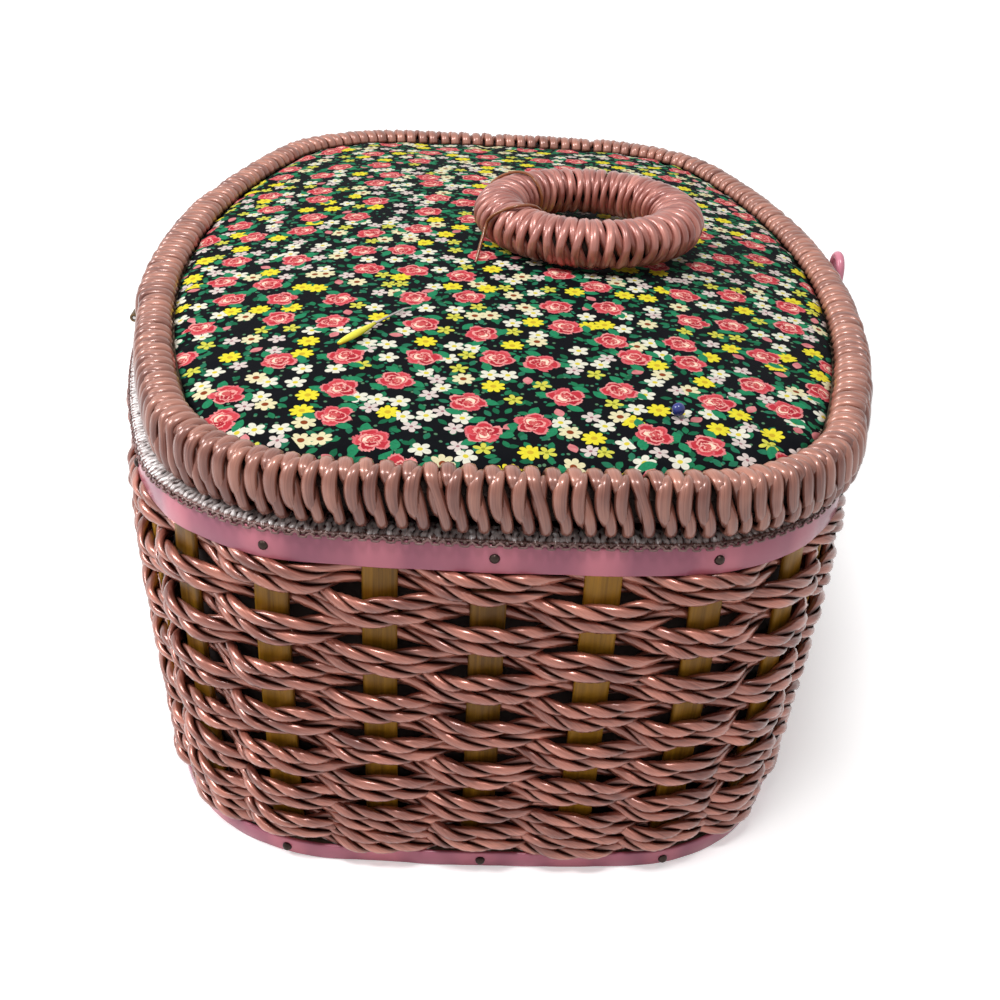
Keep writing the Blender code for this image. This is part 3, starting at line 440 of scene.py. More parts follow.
class Shader:
    """Small helper that builds the nodes of one material."""

    def __init__(self, name, roughness, metallic=0.0):
        self.material = bpy.data.materials.new(name)
        self.material.use_nodes = True
        self.tree = self.material.node_tree
        self.surface = self.tree.nodes["Principled BSDF"]
        self.surface.inputs["Roughness"].default_value = roughness
        self.surface.inputs["Metallic"].default_value = metallic
        SKIN[name] = self.material

    def node(self, kind, inputs=(), **settings):
        """Add a node; inputs are (socket, value or output) pairs."""
        node = self.tree.nodes.new(kind)
        for key, value in settings.items():
            setattr(node, key, value)
        for socket, value in inputs:
            self.put(node.inputs[socket], value)
        return node

    def put(self, socket, value):
        """Link an output to a socket, or set the socket's own value."""
        if isinstance(value, bpy.types.NodeSocket):
            self.tree.links.new(value, socket)
        elif socket.type == "RGBA":
            socket.default_value = (*value, 1.0)
        else:
            socket.default_value = value

    def math(self, operation, *values, clamp=False):
        """Math node."""
        inputs = list(enumerate(values))
        return self.node("ShaderNodeMath", inputs, operation=operation, use_clamp=clamp).outputs[0]

    def times(self, first, second):
        """Product of two values."""
        return self.math("MULTIPLY", first, second)

    def plus(self, first, second):
        """Sum of two values."""
        return self.math("ADD", first, second)

    def minus(self, first, second):
        """Difference of two values."""
        return self.math("SUBTRACT", first, second)

    def weave(self, first, second, thread):
        """Crossing threads: from 0 to 1 over two places, for threads of this size."""
        rate = FULL_TURN / thread
        warp, weft = (self.math("SINE", self.times(part, rate)) for part in (first, second))
        return self.math("MULTIPLY_ADD", self.times(warp, weft), 0.5, 0.5)

    def vector(self, operation, *values, output=0):
        """Vector math node."""
        inputs = list(enumerate(values))
        return self.node("ShaderNodeVectorMath", inputs, operation=operation).outputs[output]

    def scaled(self, vector, scales):
        """Vector multiplied axis by axis."""
        return self.vector("MULTIPLY", vector, scales)

    def mix(self, factor, first, second):
        """Colour between two colours."""
        inputs = [(0, factor), (6, first), (7, second)]
        return self.node("ShaderNodeMix", inputs, data_type="RGBA").outputs[2]

    def attribute(self, name):
        """Values stored on the mesh."""
        return self.node("ShaderNodeAttribute", attribute_name=name)

    def place(self):
        """Place on the piece, in metres."""
        return self.node("ShaderNodeTexCoord").outputs["Object"]

    def noise(self, vector, scale, detail=3.0, rough=0.5):
        """Noise value from 0 to 1."""
        inputs = [("Vector", vector), ("Scale", scale), ("Detail", detail), ("Roughness", rough)]
        return self.node("ShaderNodeTexNoise", inputs).outputs[0]

    def spread(self, value, low, high):
        """Map low..high of a value to 0..1."""
        inputs = [("Value", value), ("From Min", low), ("From Max", high)]
        return self.node("ShaderNodeMapRange", inputs).outputs[0]

    def bump(self, height, depth):
        """Bump of this many metres for a height from 0 to 1."""
        inputs = [("Height", height), ("Distance", depth), ("Strength", 1.0)]
        self.put(self.surface.inputs["Normal"], self.node("ShaderNodeBump", inputs).outputs[0])

    def colour(self, value):
        """Colour of the surface."""
        self.put(self.surface.inputs["Base Color"], value)

    def rough(self, value):
        """Roughness of the surface."""
        self.put(self.surface.inputs["Roughness"], value)

    def set(self, **values):
        """Single values on the shader's own sockets."""
        names = {"coat": "Coat Weight", "coat_rough": "Coat Roughness", "sheen": "Sheen Weight",
                 "sheen_rough": "Sheen Roughness", "specular": "Specular IOR Level"}
        for key, value in values.items():
            self.surface.inputs[names[key]].default_value = value


# Cords: dark and light tones, roughness, metallic, coat, and the depths in mm over which the painted shade in
# the creases fades
CORDS = {
    "pearl_cord": ((0.17, 0.04, 0.025), (0.56, 0.2, 0.138), 0.32, 0.35, 0.85, (-0.75, 0.1)),
    "lash_cord": ((0.15, 0.042, 0.028), (0.47, 0.195, 0.135), 0.37, 0.2, 0.6, (-0.55, 0.2)),
    "ring_cord": ((0.24, 0.06, 0.045), (0.6, 0.24, 0.19), 0.36, 0.2, 0.5, (-0.85, -0.05)),
    # Hem loops and base of the silvery trim: dark brown, painted shade under the lid's overhang.
    "hem_cord_painted_shade": ((0.1, 0.04, 0.035), (0.26, 0.14, 0.13), 0.5, 0.0, 0.1, (-0.9, -0.3)),
    "silver_braid": ((0.1, 0.045, 0.035), (0.95, 0.9, 0.89), 0.36, 0.15, 0.3, (-0.7, -0.1))}


def make_cord_skin(name, dark, light, roughness, metal, coat, painted_shade_depths):
    """Pearly cord: fine lengthwise streaks, a tint for each strand, and painted shade that makes it dark and
    dull where strands meet.
    """
    skin = Shader(name, roughness, metal)
    fibre = skin.attribute("fibre").outputs["Vector"]
    tint = skin.attribute("tint").outputs["Fac"]
    streaks = skin.noise(skin.scaled(fibre, (2600, 2600, 70)), 1.0, 3.0, 0.6)
    blotches = skin.noise(skin.scaled(fibre, (160, 160, 90)), 1.0, 2.0)
    level = skin.plus(skin.times(streaks, 0.6), skin.times(tint, 0.4))
    level = skin.plus(level, skin.times(skin.minus(blotches, 0.5), 0.7))
    body = skin.mix(skin.spread(level, 0.25, 0.75), dark, light)
    # Painted shade: the side of each strand that faces down into a crease is darkened and loses its coat,
    # gloss and metal.
    lift = skin.node("ShaderNodeSeparateXYZ", [(0, fibre)]).outputs[1]
    out_of_painted_shade = skin.spread(lift, painted_shade_depths[0] * MM, painted_shade_depths[1] * MM)
    skin.colour(skin.mix(out_of_painted_shade, tuple(0.15 * c for c in dark), body))
    for socket, value in (("Coat Weight", coat), ("Specular IOR Level", 0.5), ("Metallic", metal)):
        skin.put(skin.surface.inputs[socket], skin.times(out_of_painted_shade, value))
    skin.rough(skin.math("MULTIPLY_ADD", streaks, 0.16, roughness - 0.08))
    skin.bump(streaks, 0.045 * MM)
    skin.set(coat_rough=0.16)


def make_wood_skin(name, dark, light, roughness):
    """Wood with its grain along Z of the fibre place."""
    skin = Shader(name, roughness)
    fibre = skin.attribute("fibre").outputs["Vector"]
    tint = skin.attribute("tint").outputs["Fac"]
    grain = skin.noise(skin.scaled(fibre, (900, 900, 22)), 1.0, 4.0, 0.65)
    broad = skin.noise(skin.scaled(fibre, (160, 160, 14)), 1.0, 2.0)
    fleck = skin.spread(skin.noise(skin.scaled(fibre, (1500, 1500, 130)), 1.0, 2.0), 0.66, 0.74)
    level = skin.plus(skin.times(grain, 0.45), skin.times(broad, 0.55))
    level = skin.plus(level, skin.times(skin.minus(tint, 0.5), 0.5))
    base = skin.mix(skin.spread(level, 0.32, 0.68), dark, light)
    skin.colour(skin.mix(skin.times(fleck, 0.45), base, tuple(0.35 * c for c in dark)))
    skin.bump(grain, 0.1 * MM)
    skin.set(coat=0.1, coat_rough=0.25, specular=0.25)


def make_plastic_skin(name, colour, roughness, mottle=0.12):
    """Moulded plastic, a little uneven in colour and gloss."""
    skin = Shader(name, roughness)
    place = skin.place()
    cloud = skin.noise(place, 45.0, 3.0)
    fine = skin.noise(place, 900.0, 2.0)
    pale = tuple(min(1.0, c * (1 + mottle) + 0.02) for c in colour)
    deep = tuple(c * (1 - mottle) for c in colour)
    skin.colour(skin.mix(skin.spread(cloud, 0.3, 0.7), deep, pale))
    skin.rough(skin.math("MULTIPLY_ADD", fine, 0.12, roughness - 0.06))
    skin.bump(skin.noise(place, 120.0, 1.0), 0.06 * MM)
    skin.set(specular=0.5)


def make_band_skin():
    """Glossy plastic strip with painted light: paler where it bulges over a stake, darker mauve where it
    spans between two.
    """
    skin = Shader("band_plastic", 0.24)
    place = skin.place()
    tint = skin.attribute("tint").outputs["Fac"]
    cloud = skin.noise(place, 70.0, 2.0)
    level = skin.plus(tint, skin.times(skin.minus(cloud, 0.5), 0.7))
    skin.colour(skin.mix(skin.spread(level, 0.0, 1.0), (0.37, 0.105, 0.165), (0.66, 0.2, 0.26)))
    skin.rough(skin.math("MULTIPLY_ADD", skin.noise(place, 700.0, 2.0), 0.1, 0.19))
    skin.bump(skin.noise(place, 55.0, 1.0), 0.12 * MM)
    skin.set(specular=0.35)


def make_cloth_skin(name, colour, roughness, sheen):
    """Woven cloth: fine crossing threads and a soft sheen."""
    skin = Shader(name, roughness)
    place = skin.place()
    parts = skin.node("ShaderNodeSeparateXYZ", [(0, place)]).outputs
    weave = skin.weave(skin.plus(parts[0], parts[2]), parts[1], CLOTH_THREAD)
    cloud = skin.noise(place, 60.0, 2.0)
    level = skin.math("MULTIPLY_ADD", weave, 0.3, skin.times(cloud, 0.7))
    skin.colour(skin.mix(skin.spread(level, 0.2, 0.8), tuple(0.78 * c for c in colour), colour))
    skin.bump(weave, 0.04 * MM)
    skin.set(sheen=sheen, sheen_rough=0.4)


def make_metal_skin(name, colour, roughness):
    """Metal with faint scratches and dull patches."""
    skin = Shader(name, roughness, 1.0)
    place = skin.place()
    scratch = skin.noise(skin.scaled(place, (300, 2500, 2500)), 1.0, 3.0)
    dull = skin.noise(place, 400.0, 3.0)
    skin.colour(skin.mix(skin.spread(dull, 0.35, 0.75), colour, tuple(0.55 * c for c in colour)))
    skin.rough(skin.math("MULTIPLY_ADD", scratch, 0.25, roughness - 0.1))
    skin.bump(scratch, 0.02 * MM)


ROSE_SIZE = 4.9 * MM
# Grids of motifs: size of a cell, how far the middles wander, and an offset that tells the grids apart
ROSE_GRID = (19.0 * MM, 0.6, 0.31)
BLOOM_CELL = 7.8 * MM
BLOOM_WANDER = 0.75
BLOOM_OFFSET = 3.1
OFFSET_SLOPE = 0.37
LEAF_CELL = 5.2 * MM
DOT_CELL = 3.4 * MM
PRINT_EDGE = 0.12 * MM


class Cells:
    """Scattered motifs: one to each cell of a jittered grid, with its own turn and random numbers."""

    def __init__(self, skin, place, cell, randomness, offset):
        self.skin = skin
        moved, grid = self.grid(place, cell, randomness, offset)
        self.middle = skin.vector("SUBTRACT", grid["Position"], (offset, offset * OFFSET_SLOPE, 0))
        away = skin.vector("SUBTRACT", moved, grid["Position"])
        local = skin.node("ShaderNodeSeparateXYZ", [(0, away)])
        x, y = local.outputs[0], local.outputs[1]
        chance = skin.node("ShaderNodeSeparateColor", [(0, grid["Color"])]).outputs
        self.chance = chance[0]
        turn = skin.times(chance[1], FULL_TURN)
        cosine, sine = skin.math("COSINE", turn), skin.math("SINE", turn)
        self.x = skin.plus(skin.times(x, cosine), skin.times(y, sine))
        self.y = skin.minus(skin.times(y, cosine), skin.times(x, sine))
        self.reach = self.length(self.x, self.y)
        self.bearing = skin.math("ARCTAN2", self.y, self.x)

    def grid(self, place, cell, randomness, offset):
        """Place moved by the offset, and the outputs of the jittered grid there."""
        moved = self.skin.vector("ADD", place, (offset, offset * OFFSET_SLOPE, 0))
        inputs = [("Vector", moved), ("Scale", 1 / cell), ("Randomness", randomness)]
        return moved, self.skin.node("ShaderNodeTexVoronoi", inputs, voronoi_dimensions="2D").outputs

    def length(self, x, y):
        """Length of a vector given by its two parts."""
        squares = [self.skin.times(part, part) for part in (x, y)]
        return self.skin.math("SQRT", self.skin.plus(*squares))

    def fill(self, gap):
        """1 where the gap to the edge is positive, with a narrow soft edge."""
        return self.skin.math("MULTIPLY_ADD", gap, 1 / PRINT_EDGE, 0.5, clamp=True)

    def inside(self, edge):
        """1 inside this radius."""
        return self.fill(self.skin.minus(edge, self.reach))

    def disc(self, x, y, radius, ripple):
        """1 inside a rippled circle whose middle lies at this place in the cell."""
        out = self.length(self.skin.minus(self.x, x), self.skin.minus(self.y, y))
        return self.fill(self.skin.minus(self.skin.plus(ripple, radius), out))

    def petals(self, count, size, waist, sharp):
        """Petals round a middle: 1 on the petals; a larger sharp makes them narrower."""
        turn = self.skin.times(self.bearing, count / 2)
        wave = self.skin.math("ABSOLUTE", self.skin.math("COSINE", turn))
        swell = self.skin.math("POWER", wave, sharp)
        return self.inside(self.skin.math("MULTIPLY_ADD", swell, size * (1 - waist), size * waist))

    def leaf(self, half_long, half_wide, x=0.0, y=0.0):
        """Pointed oval at this place in the cell: 1 on the leaf."""
        out = self.skin.math("DIVIDE", self.skin.minus(self.x, x), half_long)
        bow = self.skin.minus(1.0, self.skin.times(out, out))
        width = self.skin.times(bow, half_wide)
        away = self.skin.math("ABSOLUTE", self.skin.minus(self.y, y))
        return self.fill(self.skin.minus(width, away))

    def among(self, low, high):
        """1 in the cells whose chance lies in this range."""
        above = self.skin.math("GREATER_THAN", self.chance, low)
        below = self.skin.math("LESS_THAN", self.chance, high)
        return self.skin.times(above, below)

    def clear_of(self, cell, randomness, offset, distance):
        """1 in the cells whose middle is at least this far from the middles of another grid."""
        grid = self.grid(self.middle, cell, randomness, offset)[1]
        return self.skin.math("GREATER_THAN", grid["Distance"], distance / cell)


# Blooms: chance from and to, petals, size in mm, waist, sharpness, petal and heart tones, heart size in mm
BLOOMS = (
    (0.0, 0.27, 5, 2.9, 0.3, 0.55, (0.74, 0.72, 0.6), (0.66, 0.55, 0.05), 0.7),
    (0.27, 0.43, 8, 3.2, 0.55, 0.7, (0.78, 0.68, 0.04), (0.58, 0.4, 0.03), 0.8),
    (0.43, 0.59, 5, 2.6, 0.18, 0.8, (0.62, 0.6, 0.08), (0.3, 0.3, 0.03), 0.5),
    (0.59, 0.79, 5, 2.6, 0.2, 0.6, (0.66, 0.56, 0.52), (0.32, 0.14, 0.16), 0.45),
    (0.79, 0.9, 7, 3.1, 0.5, 0.6, (0.74, 0.68, 0.42), (0.24, 0.05, 0.015), 0.9))


def make_print_skin():
    """Cotton printed with small roses, daisies, buds and leaves on a black ground."""
    skin = Shader("printed_cloth", 0.75)
    place = skin.place()
    wobble = skin.noise(place, 500.0, 2.0)
    wander = skin.noise(place, 1500.0, 2.0)
    colour = (0.0025, 0.003, 0.0045)

    def lay(mask, tone):
        nonlocal colour
        colour = skin.mix(mask, colour, tone)

    def shade(tone, dark, light):
        return skin.mix(wander, tuple(dark * c for c in tone), tuple(min(1.0, light * c) for c in tone))

    for offset, tone in ((5.1, (0.09, 0.2, 0.11)), (6.3, (0.02, 0.16, 0.09))):
        dots = Cells(skin, place, DOT_CELL, 1.0, offset)
        lay(skin.times(dots.inside(0.45 * MM), dots.among(0.0, 0.4)), tone)
    greens = ((0.9, (0.009, 0.1, 0.045)), (1.7, (0.014, 0.15, 0.065)), (2.3, (0.018, 0.14, 0.075)))
    for offset, tone in greens:
        leaves = Cells(skin, place, LEAF_CELL, 0.9, offset)
        mask = skin.times(leaves.leaf(1.6 * MM, 0.85 * MM), leaves.among(0.0, 0.46))
        lay(mask, shade(tone, 0.75, 1.4))

    for offset, second in ((0.0, False), (4.4, True)):
        blooms = Cells(skin, place, BLOOM_CELL, BLOOM_WANDER, BLOOM_OFFSET + offset)
        free = blooms.clear_of(*ROSE_GRID, ROSE_SIZE + 1.3 * MM)
        if second:
            apart = blooms.clear_of(BLOOM_CELL, BLOOM_WANDER, BLOOM_OFFSET, 4.2 * MM)
            free = skin.times(free, apart)
        for low, high, count, size, waist, sharp, petal, heart, heart_size in BLOOMS:
            here = skin.times(blooms.among(low, high), free)
            petals = blooms.petals(count, size * MM, waist, sharp)
            lay(skin.times(here, petals), shade(petal, 0.8, 1.12))
            lay(skin.times(here, blooms.inside(heart_size * MM)), heart)
        here = skin.times(blooms.among(0.9, 1.0), free)
        bud = skin.mix(wobble, (0.42, 0.05, 0.07), (0.78, 0.34, 0.34))
        lay(skin.times(here, blooms.leaf(2.0 * MM, 1.3 * MM)), bud)

    roses = Cells(skin, place, *ROSE_GRID)
    ripple = skin.times(skin.minus(wobble, 0.5), 1.9 * MM)
    ragged = skin.math("MULTIPLY_ADD", skin.minus(wander, 0.5), 1.1 * MM, ripple)
    for x, y in ((5.2, 2.2), (-4.4, 3.9), (-1.5, -5.6)):
        sprig = roses.leaf(2.5 * MM, 1.35 * MM, x * MM, y * MM)
        lay(sprig, shade((0.018, 0.2, 0.09), 0.7, 1.4))
    rim_tones = ((0.68, 0.2, 0.21), (0.62, 0.12, 0.14), (0.72, 0.26, 0.25))
    petal_tones = ((0.5, 0.035, 0.05), (0.58, 0.06, 0.075), (0.4, 0.02, 0.035))

    def rose_petal(x, y, radius, rim, tone, lip):
        lay(roses.disc(x, y, radius, ragged), shade(rim, 0.85, 1.15))
        near = 1 - lip / math.hypot(x, y)
        lay(roses.disc(x * near, y * near, radius - 0.75 * lip, ripple), shade(tone, 0.7, 1.3))

    for i, turn in enumerate((20, 95, 165, 238, 310)):
        angle = math.radians(turn)
        spread = (2.75 + 0.25 * math.cos(3 * angle)) * MM
        rose_petal(spread * math.cos(angle), spread * 0.9 * math.sin(angle), 2.25 * MM, rim_tones[i % 3],
                   petal_tones[i % 3], 0.42 * MM)
    for i, (turn, spread, radius) in enumerate(((60, 1.5, 1.9), (190, 1.4, 1.75), (300, 1.2, 1.55))):
        angle = math.radians(turn)
        rose_petal(spread * MM * math.cos(angle), spread * MM * math.sin(angle), radius * MM,
                   (0.76, 0.32, 0.29), petal_tones[(i + 1) % 3], 0.38 * MM)
    lay(roses.disc(0.5 * MM, 0.85 * MM, 1.35 * MM, ripple), (0.9, 0.68, 0.52))
    lay(roses.disc(0.25 * MM, 0.15 * MM, 1.1 * MM, ripple), (0.56, 0.09, 0.09))
    lay(skin.times(skin.spread(wander, 0.56, 0.64), roses.inside(2.4 * MM)), (0.78, 0.42, 0.36))

    parts = skin.node("ShaderNodeSeparateXYZ", [(0, place)]).outputs
    weave = skin.weave(parts[0], parts[1], PRINT_THREAD)
    skin.colour(skin.mix(skin.times(weave, 0.005), colour, (0.25, 0.25, 0.25)))
    skin.bump(weave, 0.04 * MM)
    skin.set(specular=0.04)


def make_skins():
    """All the materials."""
    for name, values in CORDS.items():
        make_cord_skin(name, *values)
    make_wood_skin("bamboo", (0.13, 0.055, 0.003), (0.47, 0.225, 0.012), 0.45)
    make_wood_skin("reed", (0.2, 0.12, 0.06), (0.42, 0.29, 0.15), 0.6)
    make_plastic_skin("pink_plastic", (0.62, 0.2, 0.275), 0.26)
    make_band_skin()
    make_plastic_skin("board", (0.22, 0.16, 0.1), 0.8, 0.25)
    make_cloth_skin("lining_cloth", (0.5, 0.17, 0.21), 0.45, 0.4)
    # Near-black card: its colour is partly painted shade where it shows through gaps in the weave and
    # lashing.
    make_cloth_skin("card", (0.022, 0.009, 0.006), 0.9, 0.0)
    make_plastic_skin("tray_plastic", (0.72, 0.46, 0.5), 0.35)
    make_metal_skin("steel", (0.55, 0.52, 0.5), 0.3)
    make_metal_skin("nail", (0.05, 0.035, 0.03), 0.34)
    make_metal_skin("brass", (0.2, 0.13, 0.07), 0.45)
    make_plastic_skin("nylon_thread", (0.26, 0.075, 0.018), 0.2)
    make_plastic_skin("yellow_plastic", (0.8, 0.74, 0.02), 0.25)
    make_plastic_skin("blue_plastic", (0.015, 0.03, 0.22), 0.2)
    make_print_skin()


# Body

def make_ropes():
    """Two twisted ropes to each woven row, in front of one stake and behind the next."""
    share = even(ROPE_RINGS)
    angle = angles_at(share, STAKE_INSET)
    turns = outline_length(STAKE_INSET) / ROPE_PITCH
    normal = facing(angle)
    for k in range(ROW_COUNT):
        node = f"weaver_row_{k + 1:02d}"
        low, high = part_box(node)
        level = max((low.z + high.z) / 2, BASE_BAND_HIGH + ROPE_SEAT)
        build = Build()
        sway = np.cos(np.pi * (share * STAKE_COUNT + k))
        sway = sway * (1.5 - 0.5 * sway ** 2)
        outwards = np.where(sway > 0, ROPE_REACH_OUT, ROPE_REACH_IN) * sway
        middle = level + waves(share, ROPE_WANDER, 20, 45)
        for side in (-1, 1):
            apart = ROPE_SPACING / 2 + ROPE_SPREAD / 2 * sway
            z = middle + side * apart + waves(share, 0.5 * ROPE_WANDER, 30, 60)
            reach = outwards + waves(share, 0.6 * ROPE_WANDER, 20, 50)
            centre = outline(angle, STAKE_INSET + draw_at(z) - reach, z)
            twist = -FULL_TURN * round(turns + rng.uniform(-2, 2)) * share + rng.uniform(0, FULL_TURN)
            twist = twist + waves(share, 0.45, 6, 24)
            for strand in (0, math.pi):
                c = np.cos(twist + strand)[:, None]
                s = np.sin(twist + strand)[:, None]
                path = centre + STRAND_OFFSET * (c * normal + s * UP)
                across = -s * normal + c * UP
                thick = 1 + waves(share, 0.05, 20, 60)
                tint = 0.5 + waves(share, 0.22, 10, 70)
                sweep(build, path, across, STRAND_WIDE * thick, STRAND_DEEP * thick, ROPE_SIDES, True, tint,
                      rng.uniform(0, 1))
        build.finish(f"rope_row_{k + 1:02d}", "basket", "pearl_cord", [node])


def make_stakes():
    """Upright strips of split bamboo with slightly rounded faces."""
    build = Build()
    heights = np.linspace(0.6 * MM, WALL_HEIGHT - 0.3 * MM, 14)
    section = np.array([(-0.7, -1.0), (0.35, -1.0), (0.62, -0.86), (0.74, -0.4), (0.76, 0.0), (0.74, 0.4),
                        (0.62, 0.86), (0.35, 1.0), (-0.7, 1.0), (-0.78, 0.0)])
    for i in range(STAKE_COUNT):
        angle = float(angles_at(i / STAKE_COUNT, STAKE_INSET))
        place = outline(np.full(len(heights), angle), STAKE_INSET + draw_at(heights), heights)
        slide = rng.uniform(-0.4, 0.4) * MM + rng.uniform(-0.5, 0.5) * MM * heights / WALL_HEIGHT
        half = STAKE_HALF_WIDTH * (1 + rng.uniform(-0.05, 0.06))
        points = (place[:, None] + section[None, :, :1] * MM * facing(angle)
                  + (section[None, :, 1:] * half + slide[:, None, None]) * along(angle))
        around = np.arange(len(section)) * 2.2 * MM + i * 0.05
        fibre = np.stack(np.broadcast_arrays(around[None], i * 0.03, heights[:, None]), -1)
        build.add(points, capped_quads(len(heights), len(section)), fibre, rng.uniform(0.25, 0.75))
    build.finish("bamboo_stakes", "basket", "bamboo", ["stakes"])


def make_bands():
    """Pink plastic strips at the top and the foot, pushed out a little by the stakes, with their nails."""
    count = 20 * STAKE_COUNT
    share = even(count)
    angles = angles_at(share, STAKE_INSET)
    on_stake = ease(np.cos(FULL_TURN * share * STAKE_COUNT), -0.2, 0.9)
    for name, low, high in (("top_band", BAND_LOW, WALL_HEIGHT), ("base_band", 0.0, BASE_BAND_HIGH)):
        build = Build()
        section = round_section(0, BAND_THICKNESS, low, high, 0.5 * MM)
        wave = waves(share, 0.12 * MM, 8, 40) - 0.18 * MM * on_stake
        hem = waves(share, 0.1 * MM, 5, 20) if name == "top_band" else 0.0
        rings = []
        for inset, z in section:
            bulge = -0.25 * MM * math.sin(math.pi * (z - low) / (high - low))
            rise = hem if z > low + 1 * MM else 0.0
            rings.append(outline(angles, inset + draw_at(z) + wave + bulge + 0.1 * MM, z + rise))
        # Painted light: the tint is raised where the strip bulges over a stake and lowered between stakes.
        tint = np.clip(0.2 + 0.6 * on_stake + waves(share, 0.12, 10, 60), 0, 1)
        quads = ring_quads(count, len(section), True)
        build.add(np.stack(rings, 1), quads, tint=np.repeat(tint, len(section)))
        build.finish(f"{name}_strip", "basket", "band_plastic", [name])
        nails = Build()
        z = (low + high) / 2
        for i in range(1, STAKE_COUNT, 2):
            angle = float(angles_at(i / STAKE_COUNT, STAKE_INSET)) + rng.uniform(-1, 1) * 0.002
            height = z + rng.uniform(-0.5, 0.5) * MM
            start = outline(angle, float(draw_at(z)) - 0.05 * MM, height)
            dome(nails, start, facing(angle), NAIL_RADIUS, NAIL_RISE)
        nails.finish(f"{name}_nails", "basket", "nail")


def make_braid():
    """Silvery ribbed trim folded over the body's top edge, with small loops along its hem."""
    length = outline_length(TRIM_MIDDLE)
    count = round(length / RIB_PITCH)
    fold = curve_through(np.array(TRIM_MARKS) * MM, 20)
    share = np.linspace(0, 1, len(fold))
    ribs = Build()
    for i in range(count):
        wander = 0.16 * np.sin(FULL_TURN * (2.2 * share + rng.random())) + rng.uniform(-0.08, 0.08)
        angle = angles_at((i + wander) / count, TRIM_MIDDLE)
        lift = 0.1 * MM * np.cos(FULL_TURN * (3 * share + rng.random())) * np.sin(np.pi * share)
        path = outline(angle, fold[:, 0], BRAID_LOW + fold[:, 1] + lift)
        thick = 0.92 + 0.12 * np.cos(FULL_TURN * 3.5 * share + rng.uniform(0, 3))
        shade = np.clip(0.72 + 0.2 * rng.normal() + 0.14 * np.sin(12 * share + rng.uniform(0, 6)), 0, 1)
        # Painted shade: each rib darkens towards its outer end under the lid's overhang, over more of its
        # length on the near (-X) side. The first shade line varies at random.
        near_side_painted_shade = 0.18 * float(ease(-math.cos(float(angle[0])), 0.3, 0.9))
        shade = shade * (1 - ease(share, 0.94 - near_side_painted_shade, 1.08 - near_side_painted_shade))
        shade = shade - 0.6 * ease(share, 1.0 - near_side_painted_shade, 1.1 - near_side_painted_shade)
        half_wide = 0.98 * RIB_PITCH / 2 * thick
        sweep(ribs, path, along(angle), half_wide, RIB_DEEP * thick, 6, False, shade, rng.random())
    ribs.finish("rim_braid_ribs", "basket", "silver_braid", ["rim_braid"])
    base = Build()
    section = round_section(0.2 * MM, 7.3 * MM, BRAID_LOW, BRAID_LOW + 0.5 * MM, 0.2 * MM)
    wall_ring(base, section, angles_at(even(WALL_STEPS)))
    base.finish("rim_braid_base", "basket", "hem_cord_painted_shade")
    # The hem's loops and the trim's base take the dark hem cord: painted shade under the lid's overhang.
    loops = round(length / LOOP_PITCH)
    share = even(loops * 12)
    swing = np.abs(np.sin(np.pi * share * loops))
    curl = 0.1 / loops * np.sin(FULL_TURN * 2 * share * loops)
    angle = angles_at(share + curl + waves(share, 0.00012, 40, 120))
    z = BRAID_LOW + 0.3 * MM - 0.95 * MM * swing ** 0.8 + waves(share, 0.1 * MM, 30, 120)
    path = outline(angle, -0.25 * MM - 0.3 * MM * swing, z)
    edge = Build()
    tint = 0.5 + waves(share, 0.2, 50, 200)
    sweep(edge, path, UP, LOOP_RADIUS, LOOP_RADIUS, 6, True, tint)
    edge.finish("rim_braid_loops", "basket", "hem_cord_painted_shade")


def make_lining():
    """Cloth lining with softly gathered sides, over near-black card that shows through the weave; the card's
    near-black is partly painted shade in the gaps.
    """
    floor, top = (corner.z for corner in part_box("lining"))
    count = 360
    share = even(count)
    angles = angles_at(share)
    card = Build()
    rises = np.linspace(floor, top, 9)
    outer = [(LINING_INSET + float(draw_at(z)), z) for z in rises]
    inner = [(LINING_INSET + 0.8 * MM + float(draw_at(z)), z) for z in rises[::-1]]
    wall_ring(card, (outer + inner)[::-1], angles)
    card.finish("lining_card", "basket", "card", ["lining"])
    back = LINING_INSET + LINING_BACK
    front = LINING_INSET + LINING_THICKNESS
    heights = np.linspace(top - 0.4 * MM, floor + LINING_THICKNESS, 16)
    gather = waves(share, 0.22 * MM, 50, 110)
    rings = [outline(angles, back, top - 1.2 * MM), outline(angles, back + 0.1 * MM, top - 0.2 * MM)]
    for i, z in enumerate(heights):
        puff = gather * math.sin(math.pi * i / (len(heights) - 1)) ** 0.5
        rings.append(outline(angles, front + draw_at(z) + puff, z))
    for reach in (0.97, 0.9, 0.75, 0.5, 0.25, POINT):
        ring = flat_ring(outline(angles, front + BASE_DRAW), reach, floor + LINING_THICKNESS)
        ring[:, 2] += waves(share, 0.1 * MM, 5, 20) * reach * (reach < 0.95)
        rings.append(ring)
    for reach in (POINT, 0.5, 0.99):
        rings.append(flat_ring(outline(angles, back + BASE_DRAW), reach, floor))
    for z in rises[1:-1]:
        rings.append(outline(angles, back + draw_at(z), z))
    cloth = Build()
    cloth.add(np.stack(rings, 1), ring_quads(count, len(rings), True)[:, ::-1])
    cloth.finish("lining_cloth", "basket", "lining_cloth")


# Lid

def rim_curve():
    """Places and inward directions along the rim's outer section, evenly spaced."""
    spots = curve_through(np.array(RIM_SECTION_SHARES) * np.array([RIM_WIDTH, RIM_HIGH - RIM_LOW]), 201)
    way = unit(np.gradient(spots, axis=0))
    return spots, np.stack([-way[:, 1], way[:, 0]], -1)


def over_hinge(angle):
    """How far the lashing swells where it passes over the hinges at the back."""
    place = outline(angle)
    beyond = ease(np.abs(place[:, 0]), HINGE_ZONE - 3 * MM, HINGE_ZONE + 3 * MM)
    return HINGE_SWELL * (place[:, 1] > 0) * (1 - beyond)


